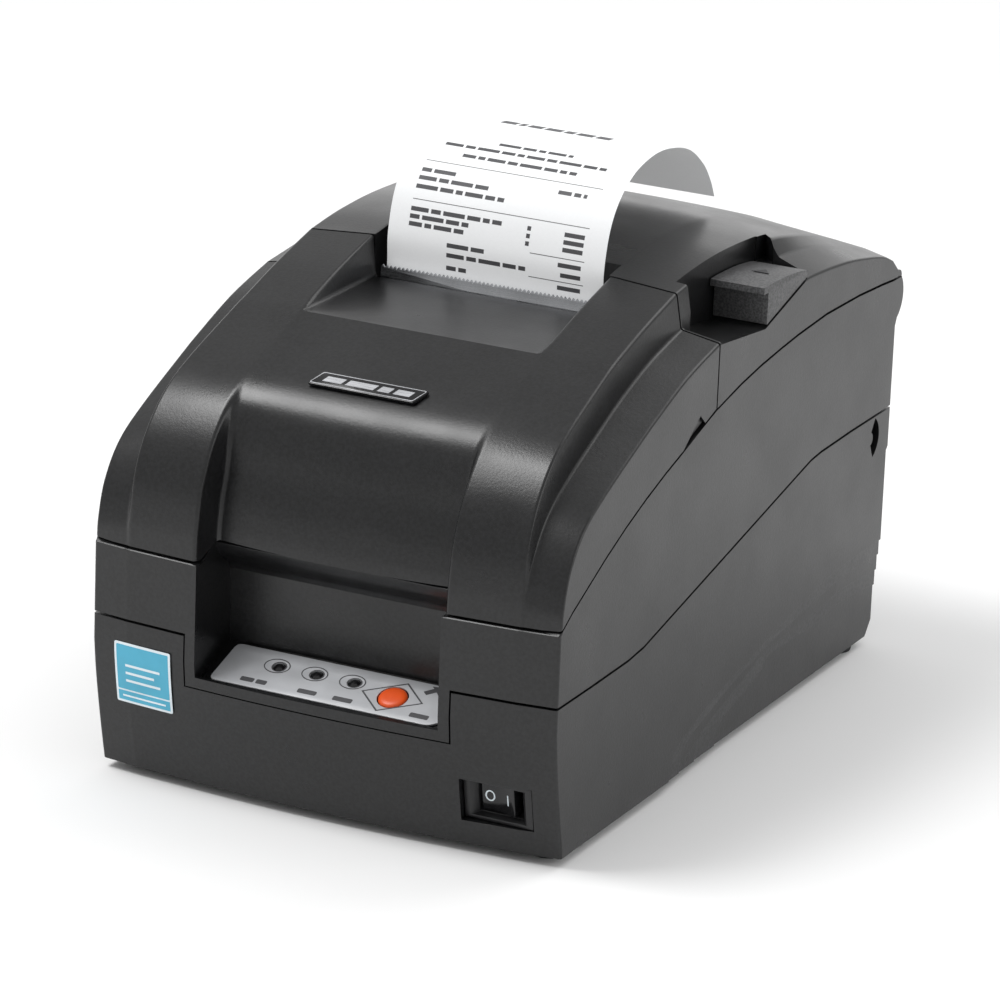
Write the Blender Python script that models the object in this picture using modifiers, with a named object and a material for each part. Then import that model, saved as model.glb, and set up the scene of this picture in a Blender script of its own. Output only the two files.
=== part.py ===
"""Desktop receipt printer with an impact head and roll paper, as an assembly of separate pieces.

The text gives millimetres and the meshes are in metres. +Z is up, the operator's side faces -Y and +X is to the
right of somebody who looks at the front. The origin is on the table, under the middle of the printer.

The casing is cut from one outer solid and one inner solid. Both are lofts across X of outlines in the YZ plane.
Prisms that follow the seams divide them into the lower case, the middle case, the front cover and the rear cover.
"""
import math

import bmesh
import bpy
from mathutils import Matrix, Vector

MM = 0.001

# ---- Driving dimensions ------------------------------------------------------------------------------------
HALF_WIDTH = 80.0
FRONT_DEPTH = 128.6      # the middle of the front, before the operator's recess is cut from it
WALL = 2.5
GAP = 0.3
SEAM_GAP = 0.3
CORNER_CHAMFER = 0.9
FRONT_BOW = 5.0          # how far the front's corners lie behind its middle
LEAN_TOP = 45.0          # below this height the front leans back
LEAN_REACH = 7.6
LEAN_POWER = 1.3
CASE_BOTTOM = 3.0
REACH = 140.0            # any length that surely passes the outside of the printer
HIGH = 220.0

RECESS_HALF = 43.0       # operator's recess between the two pillars
SCOOP_HALF = 40.2        # hollow in front of the paper exit
EXIT_BACK = -9.5         # rear wall of the paper exit

PAPER_HALF = 38.0        # 76 mm paper, the standard width for this kind of printer
PAPER_Y = -15.6
PAPER_THICK = 0.3
ROLL_CENTRE = (62.0, 95.0)
ROLL_RADIUS = 38.0
CORE_OUTER = 9.0
CORE_INNER = 6.3

FRONT_HINGE = (-127.2, 76.4)     # (y, z) of the axis along X
REAR_HINGE = (124.2, 127.2)
REAR_BARREL = 2.4
LEVER_PIVOT = (47.0, 147.0)
LATCH_AXIS = (6.0, 130.5)

FEED_AXIS = (-21.6, 131.0)
FEED_RADIUS = 5.5
PINCH_AXIS = (-11.1, 131.0)
PINCH_RADIUS = 4.0
GEAR_MODULE = 0.8
ROLLER_TEETH = 12
SMALL_IDLER_TEETH = 30
LARGE_IDLER_TEETH = 40
PINION_TEETH = 10
LARGE_IDLER_AXIS = (-30.0, 88.0)
PINION_AXIS = (-30.0, 68.0)
GEAR_X = (-68.0, -64.0)

SWITCH_X = (48.2, 71.8)          # opening for the power switch in the lower case
SWITCH_Z = (11.2, 25.8)
SWITCH_TILT = 11.0               # degrees from upright, as the front leans there
SWITCH_FACE = -120.2
POWER_PIVOT = (59.8, -112.0)

SHAFT_AXIS = (-52.0, 100.0)      # carriage shaft
PULLEY_X = 44.0
PULLEY_Y = -70.0
PULLEY_RADIUS = 6.0
BELT_Z = (84.0, 90.0)
CHASSIS_X = 61.4                 # inner faces of the side plates
SHEET = 1.2

# ---- Outlines in the YZ plane, one point for each bend, front to rear ---------------------------------------
FRONT_HEIGHTS = (3.0, 8.0, 20.0, 33.0, 45.0, 53.6, 65.0, 77.3)
PILLAR_FRONT = ((-126.3, 77.3), (-125.7, 88), (-122.3, 103), (-113.4, 118), (-98.2, 129.8), (-64.7, 143),
                (-41, 150.4), (-18.9, 156.0))
RIDGE_FRONT = ((-124.6, 77.3), (-124.3, 87), (-121.6, 102.5), (-112.8, 117), (-98, 128.2), (-64.7, 141.3),
               (-41, 148.6), (-18.9, 154.2))
FOOT_FRONT = ((-124.2, 77.3), (-123.7, 85), (-120.4, 96.5), (-111.6, 108), (-96, 117.2), (-66.5, 129.2),
              (-42, 137.8), (-18.9, 143.0))
SHOULDER_FRONT = ((-122.9, 77.3), (-122.4, 84), (-119.0, 95), (-110.5, 105.6), (-95.5, 114), (-66.7, 126.4),
                  (-42, 135.3), (-18.9, 140.7))
DISH_DEPTH = 10.3                # the middle of the front lies this far behind the pillars, low down
DISH_BOW = 1.3                   # less of it at X = 0
CREST_BOW = 0.06                 # share of the last interval by which the scoop's edge bows forward
SCOOP_FLOOR = ((-41, 143), (-18.9, 143))
PILLAR_REAR = ((-18.4, 156.1), (0, 158.0), (24, 158.6), (53, 156.8), (79, 151.8), (99, 145.6), (111, 141.0),
               (118.5, 136.6))
RIDGE_REAR = ((-18.4, 154.3), (0, 156.2), (24, 156.8), (53, 155.0), (79, 150.0), (99, 144.0), (111, 139.7),
              (118.5, 135.7))
FOOT_REAR = ((-18.4, 143.0), (0, 145.0), (24, 147.6), (52, 150.2), (77, 147.6), (99, 142.5), (111, 139.0),
             (118.5, 135.2))
SHOULDER_REAR = ((-18.4, 140.8), (0, 142.4), (24, 144.6), (48, 145.6), (77, 143.4), (97, 140.3), (110, 137.4),
                 (117.8, 134.2))
CENTRE_CROWN = 2.4               # the middle of the rear cover stands this far above its ridges
CROWN_HALF = 64.5
BULGE_CENTRE = (118.8, 121.5)    # rounded rear edge
BULGE_RADIUS = 9.2
BULGE_ANGLES = (60, 40, 20, 0, -20, -40, -58)
BACK_AND_BOTTOM = ((122.5, 110), (122.5, 69), (121.3, 68), (121.3, 8), (117, 3))

FRONT_SEAM = ((-REACH, 77.3), (-123.6, 77.3), (-116, 82.0), (-107.4, 86.3), (-94.4, 92.8), (-81.2, 98.7),
              (-67.8, 103.9), (-54.2, 108.5), (-42.4, 112), (-30, 116), (-18.65, 119.4))
REAR_SEAM = ((-18.65, 119.4), (-0.7, 123.1), (14.2, 125.4), (29.3, 127.1), (42.3, 128.3), (64, 129.6),
             (90, 129.3), (109, 128.3), (118, 127.6), (REACH, 127.2))
BASE_SEAM = ((-REACH, 53.6), (-100, 53.8), (-75, 54.2), (-64, 55.3), (-54, 57.5), (52, 80.6), (58, 81.9),
             (66, 82.6), (90, 83.1), (REACH, 83.2))
JOIN_Y = -18.65                  # vertical seam between the two covers

RECESS = ((-REACH, 40.4), (-125.2, 40.4), (-123.6, 38.6), (-104.6, 46.0), (-106.0, 70.0), (-107.2, 72.4),
          (-110, 74.6), (-113.2, 77), (-115.2, 79.6), (-116.6, 82.4), (-118, 87), (-118, 95), (-REACH, 95))
RECESS_LINER = ((-REACH, 36.9), (-124, 36.9), (-101.8, 44.6), (-103.2, 72), (-106.5, 79), (-111, 82),
                (-114, 86), (-114, 95), (-REACH, 95))
POCKET = ((-17.6, 140.2), (15.5, 136.8), (46.6, 145.4), (49.5, 147.2), (52, HIGH), (-17.6, HIGH))
POCKET_SIDE = ((-7, 139.1), (15.5, 136.8), (46.6, 145.4), (52.5, 149), (55.5, HIGH), (-7, HIGH))
POCKET_LINER = ((-30, 139.4), (-17.6, 137.7), (15.8, 134.2), (48, 142.8), (56, 146.4), (59, HIGH), (-30, HIGH))

SAMPLES_FRONT = 3
SAMPLES_REAR = 2

CHARCOAL = (0.034, 0.035, 0.037)
BLACK = (0.012, 0.012, 0.013)
STEEL = (0.46, 0.47, 0.49)
ZINC = (0.58, 0.60, 0.62)


# ---- Scene and materials -----------------------------------------------------------------------------------
def clear_scene():
    for old in list(bpy.data.objects):
        bpy.data.objects.remove(old, do_unlink=True)


def new_collection(name, hidden=False):
    collection = bpy.data.collections.new(name)
    bpy.context.scene.collection.children.link(collection)
    collection.hide_render = hidden
    return collection


def paint(name, colour, roughness=0.5, metallic=0.0):
    material = bpy.data.materials.new(name)
    material.use_nodes = True
    shader = material.node_tree.nodes["Principled BSDF"]
    shader.inputs["Base Color"].default_value = (*colour, 1.0)
    shader.inputs["Roughness"].default_value = roughness
    shader.inputs["Metallic"].default_value = metallic
    material.diffuse_color = (*colour, 1.0)
    return material


clear_scene()
PARTS = new_collection("receipt_printer")
CUTTERS = new_collection("cutters", hidden=True)


# ---- Solids in millimetres, each one a bmesh ---------------------------------------------------------------
def block(low, high):
    solid = bmesh.new()
    bmesh.ops.create_cube(solid, size=1.0)
    size = Vector(high) - Vector(low)
    centre = (Vector(high) + Vector(low)) / 2
    bmesh.ops.transform(solid, matrix=Matrix.Translation(centre) @ Matrix.Diagonal((*size, 1.0)), verts=solid.verts)
    return solid


def rod(start, end, radius, sides=20, end_radius=None):
    start = Vector(start)
    along = Vector(end) - start
    solid = bmesh.new()
    bmesh.ops.create_cone(solid, cap_ends=True, segments=sides, radius1=radius,
                          radius2=radius if end_radius is None else end_radius, depth=along.length)
    turn = along.to_track_quat("Z", "Y").to_matrix().to_4x4()
    bmesh.ops.transform(solid, matrix=Matrix.Translation(start + along / 2) @ turn, verts=solid.verts)
    return solid


def rod_x(axis, x_low, x_high, radius, sides=20):
    """A rod along X through (y, z)."""
    return rod((x_low, *axis), (x_high, *axis), radius, sides)


def outward(solid):
    """Turn every face of a closed solid outwards."""
    bmesh.ops.recalc_face_normals(solid, faces=solid.faces)
    if solid.calc_volume(signed=True) < 0:
        bmesh.ops.reverse_faces(solid, faces=solid.faces)
    return solid


def evaluated_mesh(source):
    graph = bpy.context.evaluated_depsgraph_get()
    return bpy.data.meshes.new_from_object(source.evaluated_get(graph))


def plate(plane, outline, low, high, holes=()):
    """A flat outline with holes, filled and extruded from low to high along the plane's normal."""
    curve = bpy.data.curves.new("outline", "CURVE")
    curve.dimensions = "2D"
    curve.fill_mode = "BOTH"
    curve.extrude = (high - low) / 2
    for loop in (outline, *holes):
        spline = curve.splines.new("POLY")
        spline.points.add(len(loop) - 1)
        for point, (u, v) in zip(spline.points, loop):
            point.co = (u, v, 0, 1)
        spline.use_cyclic_u = True
    holder = bpy.data.objects.new("outline", curve)
    CUTTERS.objects.link(holder)
    mesh = evaluated_mesh(holder)
    bpy.data.objects.remove(holder)
    solid = bmesh.new()
    solid.from_mesh(mesh)
    bpy.data.meshes.remove(mesh)
    bmesh.ops.remove_doubles(solid, verts=solid.verts, dist=0.001)
    middle = (low + high) / 2
    for vert in solid.verts:
        u, v, w = vert.co
        vert.co = {"XY": (u, v, w + middle), "YZ": (w + middle, u, v), "XZ": (u, w + middle, v)}[plane]
    return outward(solid)


def turned(profile, centre, axis):
    """A profile of (radius, height), top to bottom, turned about an axis through centre."""
    mesh = bpy.data.meshes.new("profile")
    points = [(radius, 0, height) for radius, height in profile]
    edges = [(i, i + 1) for i in range(len(points) - 1)]
    if profile[0][0] > 0:
        edges.append((len(points) - 1, 0))
    mesh.from_pydata(points, edges, [])
    holder = bpy.data.objects.new("profile", mesh)
    CUTTERS.objects.link(holder)
    screw = holder.modifiers.new("turn", "SCREW")
    screw.steps = screw.render_steps = 28
    screw.use_merge_vertices = True
    screw.merge_threshold = 0.0001
    result = evaluated_mesh(holder)
    bpy.data.objects.remove(holder)
    solid = bmesh.new()
    solid.from_mesh(result)
    bpy.data.meshes.remove(result)
    bmesh.ops.remove_doubles(solid, verts=solid.verts, dist=0.0001)
    turn = Vector(axis).to_track_quat("Z", "Y").to_matrix().to_4x4()
    bmesh.ops.transform(solid, matrix=Matrix.Translation(centre) @ turn, verts=solid.verts)
    return outward(solid)


def tube(centre, axis, outer, inner, length):
    half = length / 2
    return turned(((outer, half), (outer, -half), (inner, -half), (inner, half)), centre, axis)


# ---- Objects -----------------------------------------------------------------------------------------------
def as_object(name, solid, collection, pivot=(0, 0, 0)):
    """Turn a solid in millimetres into an object in metres, with its origin at pivot."""
    pivot = Vector(pivot)
    bmesh.ops.translate(solid, vec=-pivot, verts=solid.verts)
    bmesh.ops.scale(solid, vec=(MM, MM, MM), verts=solid.verts)
    mesh = bpy.data.meshes.new(name)
    solid.to_mesh(mesh)
    solid.free()
    result = bpy.data.objects.new(name, mesh)
    result.location = pivot * MM
    collection.objects.link(result)
    return result


def part(name, solid, material, pivot=(0, 0, 0)):
    result = as_object(name, solid, PARTS, pivot)
    result.data.materials.append(material)
    result.data.shade_smooth()
    result.data.set_sharp_from_angle(angle=math.radians(32))
    return result


def guide(name, solid):
    result = as_object(name, solid, CUTTERS)
    result.hide_render = True
    result.display_type = "WIRE"
    return result


def combine(target, operation, *tools):
    for tool in tools:
        step = target.modifiers.new(operation.lower(), "BOOLEAN")
        step.operation = operation
        step.solver = "EXACT"
        step.object = tool
    return target


def cut(target, *solids):
    for solid in solids:
        combine(target, "DIFFERENCE", guide(target.name + "_cut", solid))
    return target


def add(target, *solids):
    for solid in solids:
        combine(target, "UNION", guide(target.name + "_add", solid))
    return target


# ---- Curves ------------------------------------------------------------------------------------------------
def smooth_path(points, samples):
    """Points along a smooth curve through the given points, as many samples for each interval."""
    path = []
    last = len(points) - 1
    for i in range(last):
        before = Vector(points[max(i - 1, 0)])
        start = Vector(points[i])
        end = Vector(points[i + 1])
        after = Vector(points[min(i + 2, last)])
        for step in range(samples):
            t = step / samples
            point = (start * 2 + (end - before) * t + (before * 2 - start * 5 + end * 4 - after) * t * t
                     + (start * 3 - before - end * 3 + after) * t ** 3) / 2
            path.append(tuple(point))
    path.append(tuple(points[last]))
    return path


def arc(centre, radius, from_degrees, to_degrees, steps):
    points = []
    for step in range(steps + 1):
        angle = math.radians(from_degrees + (to_degrees - from_degrees) * step / steps)
        points.append((centre[0] + radius * math.cos(angle), centre[1] + radius * math.sin(angle)))
    return points


def circle(centre, radius, sides=20):
    return arc(centre, radius, 0, 360, sides)[:-1]


def shifted(points, rise):
    return [(y, z + rise) for y, z in points]


def band(path, thickness):
    """The closed outline of a strip with the path as its middle line."""
    half = thickness / 2
    left = []
    right = []
    for i, point in enumerate(path):
        before = Vector(path[max(i - 1, 0)])
        after = Vector(path[min(i + 1, len(path) - 1)])
        along = (after - before).normalized()
        side = Vector((-along.y, along.x)) * half
        left.append(tuple(Vector(point) + side))
        right.append(tuple(Vector(point) - side))
    return left + right[::-1]


def inset(outline, distance):
    """Move each edge of a closed clockwise outline inwards."""
    result = []
    count = len(outline)
    for i in range(count):
        point = Vector(outline[i])
        first = (point - Vector(outline[i - 1])).normalized()
        second = (Vector(outline[(i + 1) % count]) - point).normalized()
        normal_1 = Vector((first.y, -first.x))
        normal_2 = Vector((second.y, -second.x))
        middle = (normal_1 + normal_2).normalized()
        result.append(tuple(point + middle * distance / max(middle.dot(normal_1), 0.5)))
    return result


# ---- The casing's outer and inner solids -------------------------------------------------------------------
def front_y(x, z):
    """How far forward the front of the two lower cases lies."""
    lean = max(0.0, (LEAN_TOP - z) / (LEAN_TOP - CASE_BOTTOM))
    return -FRONT_DEPTH + FRONT_BOW * (x / HALF_WIDTH) ** 2 + LEAN_REACH * lean ** LEAN_POWER


def front_path(front, samples):
    """Up the front and over the front cover, with a sharp bend between the two."""
    return smooth_path(front[:6], samples)[:-1] + smooth_path(front[5:], samples)


def centre_path(x, samples):
    """The hollow between the pillars: level with them above, dished below, with the scoop's edge bowed."""
    middle = 1 - (x / RECESS_HALF) ** 2
    pillar = smooth_path(PILLAR_FRONT[:6], 24)
    points = []
    for step in range(5 * samples + 1):
        place = step / samples
        if place > 4:
            place = 4 + (place - 4) * (1 - CREST_BOW * middle)
        spot = min(round(place * 24), len(pillar) - 2)
        along = (Vector(pillar[spot + 1]) - Vector(pillar[spot])).normalized()
        share = min(1.0, max(0.0, (place - 2) / 2))
        depth = (DISH_DEPTH - DISH_BOW * middle) * (1 - share * share * (3 - 2 * share))
        points.append((pillar[spot][0] + along.y * depth, pillar[spot][1] - along.x * depth))
    crest = points.pop()
    return points + smooth_path((crest, *SCOOP_FLOOR), samples)


def crown_at(x, y):
    rise = min(1.0, max(0.0, (y + 18.4) / 40))
    height = CENTRE_CROWN * rise * rise * (3 - 2 * rise) * min(1.0, (REACH - y) / 60)
    return height * max(0.0, 1 - (x / CROWN_HALF) ** 2)


def lane_outline(x, front, rear, crowned=False):
    """The closed YZ outline at one x: up the front, over both covers, down the back."""
    points = [(front_y(x, z), z) for z in FRONT_HEIGHTS[:-1]]
    points += front
    points += [(y, z + crown_at(x, y) if crowned else z) for y, z in smooth_path(rear, SAMPLES_REAR)]
    points += [(BULGE_CENTRE[0] + BULGE_RADIUS * math.cos(math.radians(angle)),
                BULGE_CENTRE[1] + BULGE_RADIUS * math.sin(math.radians(angle))) for angle in BULGE_ANGLES]
    points += BACK_AND_BOTTOM
    return points


def loft_across(lanes):
    """A closed solid from outlines with equal point counts; each lane is a list of (x, y, z)."""
    solid = bmesh.new()
    rings = [[solid.verts.new(point) for point in lane] for lane in lanes]
    count = len(rings[0])
    for left, right in zip(rings, rings[1:]):
        for i in range(count):
            j = (i + 1) % count
            solid.faces.new((left[i], left[j], right[j], right[i]))
    solid.faces.new(rings[0])
    solid.faces.new(rings[-1][::-1])
    return outward(solid)


def lane_x(start, scoop, y):
    """A lane's x drifts from its value at the front to its value at the scoop."""
    share = min(1.0, max(0.0, (y + 98) / 33))
    return start + (scoop - start) * share


def ridge_x(y):
    """The step beside each pillar leans outwards towards the front."""
    return 64.5 + 2.7 * min(1.0, max(0.0, (-60 - y) / 60))


def foot_x(y):
    """The step's foot moves outwards low at the front, and behind the lever, where the step fades."""
    return 66.5 + 1.9 * min(1.0, max(0.0, (-60 - y) / 60)) + 5.5 * min(1.0, max(0.0, (y - 20) / 90))


def casing_solid(offset):
    """The outer solid for offset 0, or the cavity for a positive wall thickness."""
    edge_x = RECESS_HALF - 2
    shoulder = inset(lane_outline(HALF_WIDTH, front_path(SHOULDER_FRONT, SAMPLES_FRONT), SHOULDER_REAR), offset)
    foot = inset(lane_outline(foot_x(0), front_path(FOOT_FRONT, SAMPLES_FRONT), FOOT_REAR), offset)
    ridge = inset(lane_outline(64.5, front_path(RIDGE_FRONT, SAMPLES_FRONT), RIDGE_REAR), offset)
    pillar = inset(lane_outline(RECESS_HALF, front_path(PILLAR_FRONT, SAMPLES_FRONT), PILLAR_REAR, True), offset)
    edge = inset(lane_outline(edge_x, centre_path(edge_x, SAMPLES_FRONT), PILLAR_REAR, True), offset)
    half = inset(lane_outline(20, centre_path(20, SAMPLES_FRONT), PILLAR_REAR, True), offset)
    middle = inset(lane_outline(0, centre_path(0, SAMPLES_FRONT), PILLAR_REAR, True), offset)
    lanes = [[(0.0, y, z) for y, z in middle]]
    lanes.append([(20.0, y, z) for y, z in half])
    lanes.append([(lane_x(edge_x, SCOOP_HALF, y) + offset, y, z) for y, z in edge])
    lanes.append([(lane_x(RECESS_HALF, SCOOP_HALF + 1.2, y) + offset, y, z) for y, z in pillar])
    lanes.append([(ridge_x(y) - offset, y, z) for y, z in ridge])
    lanes.append([(foot_x(y) - offset, y, z) for y, z in foot])
    if offset:
        lanes.append([(HALF_WIDTH - offset, y, z) for y, z in shoulder])
    else:
        lanes.append([(HALF_WIDTH - CORNER_CHAMFER, y, z) for y, z in shoulder])
        lanes.append([(HALF_WIDTH, y, z) for y, z in inset(shoulder, CORNER_CHAMFER)])
    mirrored = [[(-x, y, z) for x, y, z in lane] for lane in lanes[:0:-1]]
    return loft_across(mirrored + lanes)


def region(low_edge, high_edge):
    """A prism across the whole width between two lines that run front to rear."""
    return plate("YZ", list(low_edge) + list(high_edge)[::-1], -REACH, REACH)


def below(seam):
    return shifted(seam, -SEAM_GAP)


def above(seam):
    return shifted(seam, SEAM_GAP)


# ---- Casing ------------------------------------------------------------------------------------------------
def cavity_without(name, *liners):
    """The inner solid with room kept for the liners' walls."""
    room = guide(name, casing_solid(WALL))
    return cut(room, *liners)


def shell(name, zone, cavity, material):
    result = part(name, casing_solid(0.0), material)
    combine(result, "INTERSECT", guide(name + "_zone", zone))
    combine(result, "DIFFERENCE", cavity)
    return result


def make_lower_case(material):
    floor_line = ((-REACH, -10), (REACH, -10))
    cavity = cavity_without("lower_cavity")
    case = shell("lower_case", region(floor_line, below(BASE_SEAM)), cavity, material)
    cut(case, block((-46.1, -REACH, 36.5), (46.1, -98, 60)))
    cut(case, switch_tilted(block((SWITCH_X[0], -REACH, SWITCH_Z[0]), (SWITCH_X[1], -102, SWITCH_Z[1]))))
    cut(case, plate("YZ", band(arc((107.4, 75.7), 4.9, -65, 60, 8), 4.2), 74, REACH))
    cut(case, block((-60, 110, 16), (60, REACH, 60)))
    add(case, *[rod((x, y, 4), (x, y, CHASSIS_FLOOR - GAP), 4.0, 16) for x, y in CHASSIS_POSTS])
    cut(case, *[rod((x, y, 32), (x, y, 60), 1.8, 12) for x, y in CHASSIS_POSTS])
    add(case, *[rod((x, y, 4), (x, y, BOARD_Z[0] - GAP), 3.2, 14) for x, y in BOARD_POSTS])
    return case


def make_middle_case(material):
    cover_seams = below(FRONT_SEAM) + below(REAR_SEAM)[1:]
    zone = region(above(BASE_SEAM), cover_seams)
    liner = plate("YZ", RECESS_LINER, -RECESS_HALF - WALL, RECESS_HALF + WALL)
    cavity = cavity_without("middle_cavity", liner)
    case = part("middle_case", casing_solid(0.0), material)
    zone_guide = guide("middle_zone", zone)
    combine(zone_guide, "UNION", guide("middle_apron", block((-45.6, -REACH, 36.9), (45.6, -98.5, 60))))
    combine(case, "INTERSECT", zone_guide)
    combine(case, "DIFFERENCE", cavity)
    cut(case, plate("YZ", RECESS, -RECESS_HALF + 1, RECESS_HALF - 1))
    cut(case, on_panel(rod((*BUTTON, -6), (*BUTTON, 6), BUTTON_HOLE, 20)))
    cut(case, *[on_panel(rod((*spot, -6), (*spot, 6), 2.1, 14)) for spot in LAMPS])
    cut(case, rod_x(REAR_HINGE, -70.5, 70.5, REAR_BARREL + 0.4, 20))
    ears = [rod_x(REAR_HINGE, x, x + 8.6, REAR_BARREL, 20) for x in (-79.4, 70.8)]
    add(case, *ears)
    cut(case, *[rod_x(REAR_HINGE, x, x + 12, 1.3, 12) for x in (-78.2, 66.2)])
    return case


def make_front_cover(material):
    seam = above(FRONT_SEAM)
    seam[-1] = (JOIN_Y - SEAM_GAP, seam[-1][1])
    zone = region(seam, ((-REACH, HIGH), (JOIN_Y - SEAM_GAP, HIGH)))
    cover = shell("front_cover", zone, cavity_without("front_cavity"), material)
    cut(cover, block((-SCOOP_HALF + 0.6, -20.2, 130), (SCOOP_HALF - 0.6, -10, 150)))
    notch = ((-42.4, 100), (-42.4, 112.2), (-30.6, 120.6), (-26.2, 116.8), (-26.2, 100))
    for side in (-1, 1):
        near, far = sorted((side * 78.6, side * REACH))
        cut(cover, plate("YZ", notch, near, far))
    return cover


def make_rear_cover(material):
    seam = above(REAR_SEAM)
    seam[0] = (JOIN_Y + SEAM_GAP, seam[0][1])
    zone = region(seam, ((JOIN_Y + SEAM_GAP, HIGH), (REACH, HIGH)))
    pocket_liner = plate("YZ", POCKET_LINER, 58.0, REACH)
    exit_liner = block((-43.5, -30, 137), (43.5, EXIT_BACK + WALL, 170))
    cavity = cavity_without("rear_cavity", pocket_liner, exit_liner)
    cover = shell("rear_cover", zone, cavity, material)
    cut(cover, plate("YZ", POCKET, 66.0, REACH))
    cut(cover, plate("YZ", POCKET_SIDE, 60.5, 70))
    cut(cover, block((-41, -30, 120), (41, EXIT_BACK, 170)))
    cut(cover, *[rod_x(REAR_HINGE, x, x + 11, REAR_BARREL + 0.6, 20) for x in (-81.4, 70.4)])
    add(cover, rod_x(REAR_HINGE, -70.1, 70.1, REAR_BARREL, 20))
    cut(cover, *[rod_x(REAR_HINGE, x, x + 12.5, 1.3, 12) for x in (-70.7, 58.2)])
    return cover


def make_casing():
    plastic = paint("charcoal_abs", CHARCOAL, 0.45)
    make_lower_case(plastic)
    make_middle_case(plastic)
    make_front_cover(plastic)
    make_rear_cover(plastic)


# ---- Places that several pieces share ----------------------------------------------------------------------
PANEL_ORIGIN = (-123.6, 38.6)    # front edge of the sloping panel shelf
PANEL_SLOPE = math.degrees(math.atan2(7.4, 19.0))
LAMPS = ((-20.3, 12.2), (-7.2, 12.2), (5.9, 12.2))
BUTTON = (20.4, 9.6)
BUTTON_HOLE = 5.0
CHASSIS_POSTS = ((54, -92), (-54, -92), (52, -20), (-52, -20))
BOARD_POSTS = ((56, 2), (-56, 2), (56, 96), (-56, 96))
BOARD_Z = (12.0, 13.5)
PART_Z = BOARD_Z[1] + GAP
CHASSIS_FLOOR = 46.6
WEB_TURN = (-3.6, 92.0)          # centre of the bend where the paper turns upwards
WEB_RADIUS = 12.0
NEAR_END_PIN = (84.0, 62.0)
GEAR_STUD = 1.5
LATCH_STUD = (-12.5, 121.0)


def tilted(solid, degrees, pivot_yz):
    """Turn a solid about the X axis through a point in the YZ plane."""
    pivot = Vector((0, *pivot_yz))
    turn = Matrix.Translation(pivot) @ Matrix.Rotation(math.radians(degrees), 4, "X") @ Matrix.Translation(-pivot)
    bmesh.ops.transform(solid, matrix=turn, verts=solid.verts)
    return solid


def on_panel(solid):
    """Move a solid drawn on the flat, with z = 0 on the shelf, onto the sloping shelf."""
    bmesh.ops.translate(solid, vec=(0, *PANEL_ORIGIN), verts=solid.verts)
    return tilted(solid, PANEL_SLOPE, PANEL_ORIGIN)


def switch_tilted(solid):
    return tilted(solid, SWITCH_TILT, (SWITCH_FACE, sum(SWITCH_Z) / 2))


# ---- Operator's panel, power switch, badges, feet ----------------------------------------------------------
def make_panel():
    outline = ((-38, 0.9), (36.8, 0.9), (41, 4.8), (41, 18.8), (-36.8, 18.8), (-38.6, 17.2), (-39.4, 2.2))
    holes = [circle(spot, 2.1, 14) for spot in LAMPS] + [circle(BUTTON, BUTTON_HOLE, 24)]
    label = plate("XY", outline, 0.3, 0.9, holes)
    part("panel_label", on_panel(label), paint("label_silver", (0.68, 0.69, 0.71), 0.4, 0.5))
    lens = ((0, 1.5), (1.0, 1.3), (1.8, 0.6), (1.8, -3.4), (0, -3.4))
    guide_bar = on_panel(block((-22.9, 10.0, -4.6), (8.5, 14.4, -3.0)))
    lamps = part("lamp_light_guide", guide_bar, paint("smoked_lens", (0.02, 0.02, 0.022), 0.15))
    add(lamps, *[on_panel(turned(lens, (x, y, 0), (0, 0, 1))) for x, y in LAMPS])
    cap = ((0, 1.6), (3.6, 1.5), (4.4, 1.1), (4.6, 0.4), (4.6, -1.9), (0, -1.9))
    pivot = Vector((0, *PANEL_ORIGIN)) + Matrix.Rotation(math.radians(PANEL_SLOPE), 3, "X") @ Vector((*BUTTON, 0))
    button = on_panel(turned(cap, (*BUTTON, 0), (0, 0, 1)))
    part("feed_button", button, paint("button_orange", (0.87, 0.11, 0.012), 0.35), pivot)
    board = on_panel(block((-36, 3, -8.0), (36, 17, -6.8)))
    part("panel_board", board, paint("board_green", (0.01, 0.09, 0.035), 0.4))
    x, y = BUTTON
    key = part("feed_key_switch", on_panel(block((x - 3, y - 3, -6.5), (x + 3, y + 3, -4.4))),
               paint("key_black", BLACK, 0.5))
    add(key, on_panel(rod((x, y, -5), (x, y, -3.5), 1.7, 14)))


def make_switch():
    x_low, x_high = SWITCH_X[0] + GAP, SWITCH_X[1] - GAP
    z_low, z_high = SWITCH_Z[0] + GAP, SWITCH_Z[1] - GAP
    frame = block((x_low, SWITCH_FACE, z_low), (x_high, -104, z_high))
    housing = part("switch_housing", switch_tilted(frame), paint("switch_body", BLACK, 0.4))
    middle_x, pivot_y = POWER_PIVOT
    well = block((middle_x - 7.5, -REACH, z_low + 1.4), (middle_x + 7.5, -106, z_high - 1.4))
    funnel = ((49.4, -121.6), (middle_x - 7.0, -117.2), (middle_x + 7.0, -117.2), (70.4, -121.6))
    cut(housing, switch_tilted(well), switch_tilted(plate("XY", funnel, z_low + 1.2, z_high - 1.2)))
    outline = ((-6.0, -6.2), (0, -5.2), (6.0, -6.2), (6.0, -2.5), (4.0, 1.5), (-4.0, 1.5), (-6.0, -2.5))
    rocker = plate("XY", outline, z_low + 1.8, z_high - 1.8)
    bmesh.ops.rotate(rocker, matrix=Matrix.Rotation(math.radians(-8), 3, "Z"), verts=rocker.verts)
    bmesh.ops.translate(rocker, vec=(middle_x, pivot_y, 0), verts=rocker.verts)
    middle_z = sum(SWITCH_Z) / 2
    reach = pivot_y - SWITCH_FACE
    tilt = math.radians(SWITCH_TILT)
    pivot = (middle_x, SWITCH_FACE + reach * math.cos(tilt), middle_z + reach * math.sin(tilt))
    part("power_rocker", switch_tilted(rocker), paint("rocker_black", BLACK, 0.3), pivot)


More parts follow.
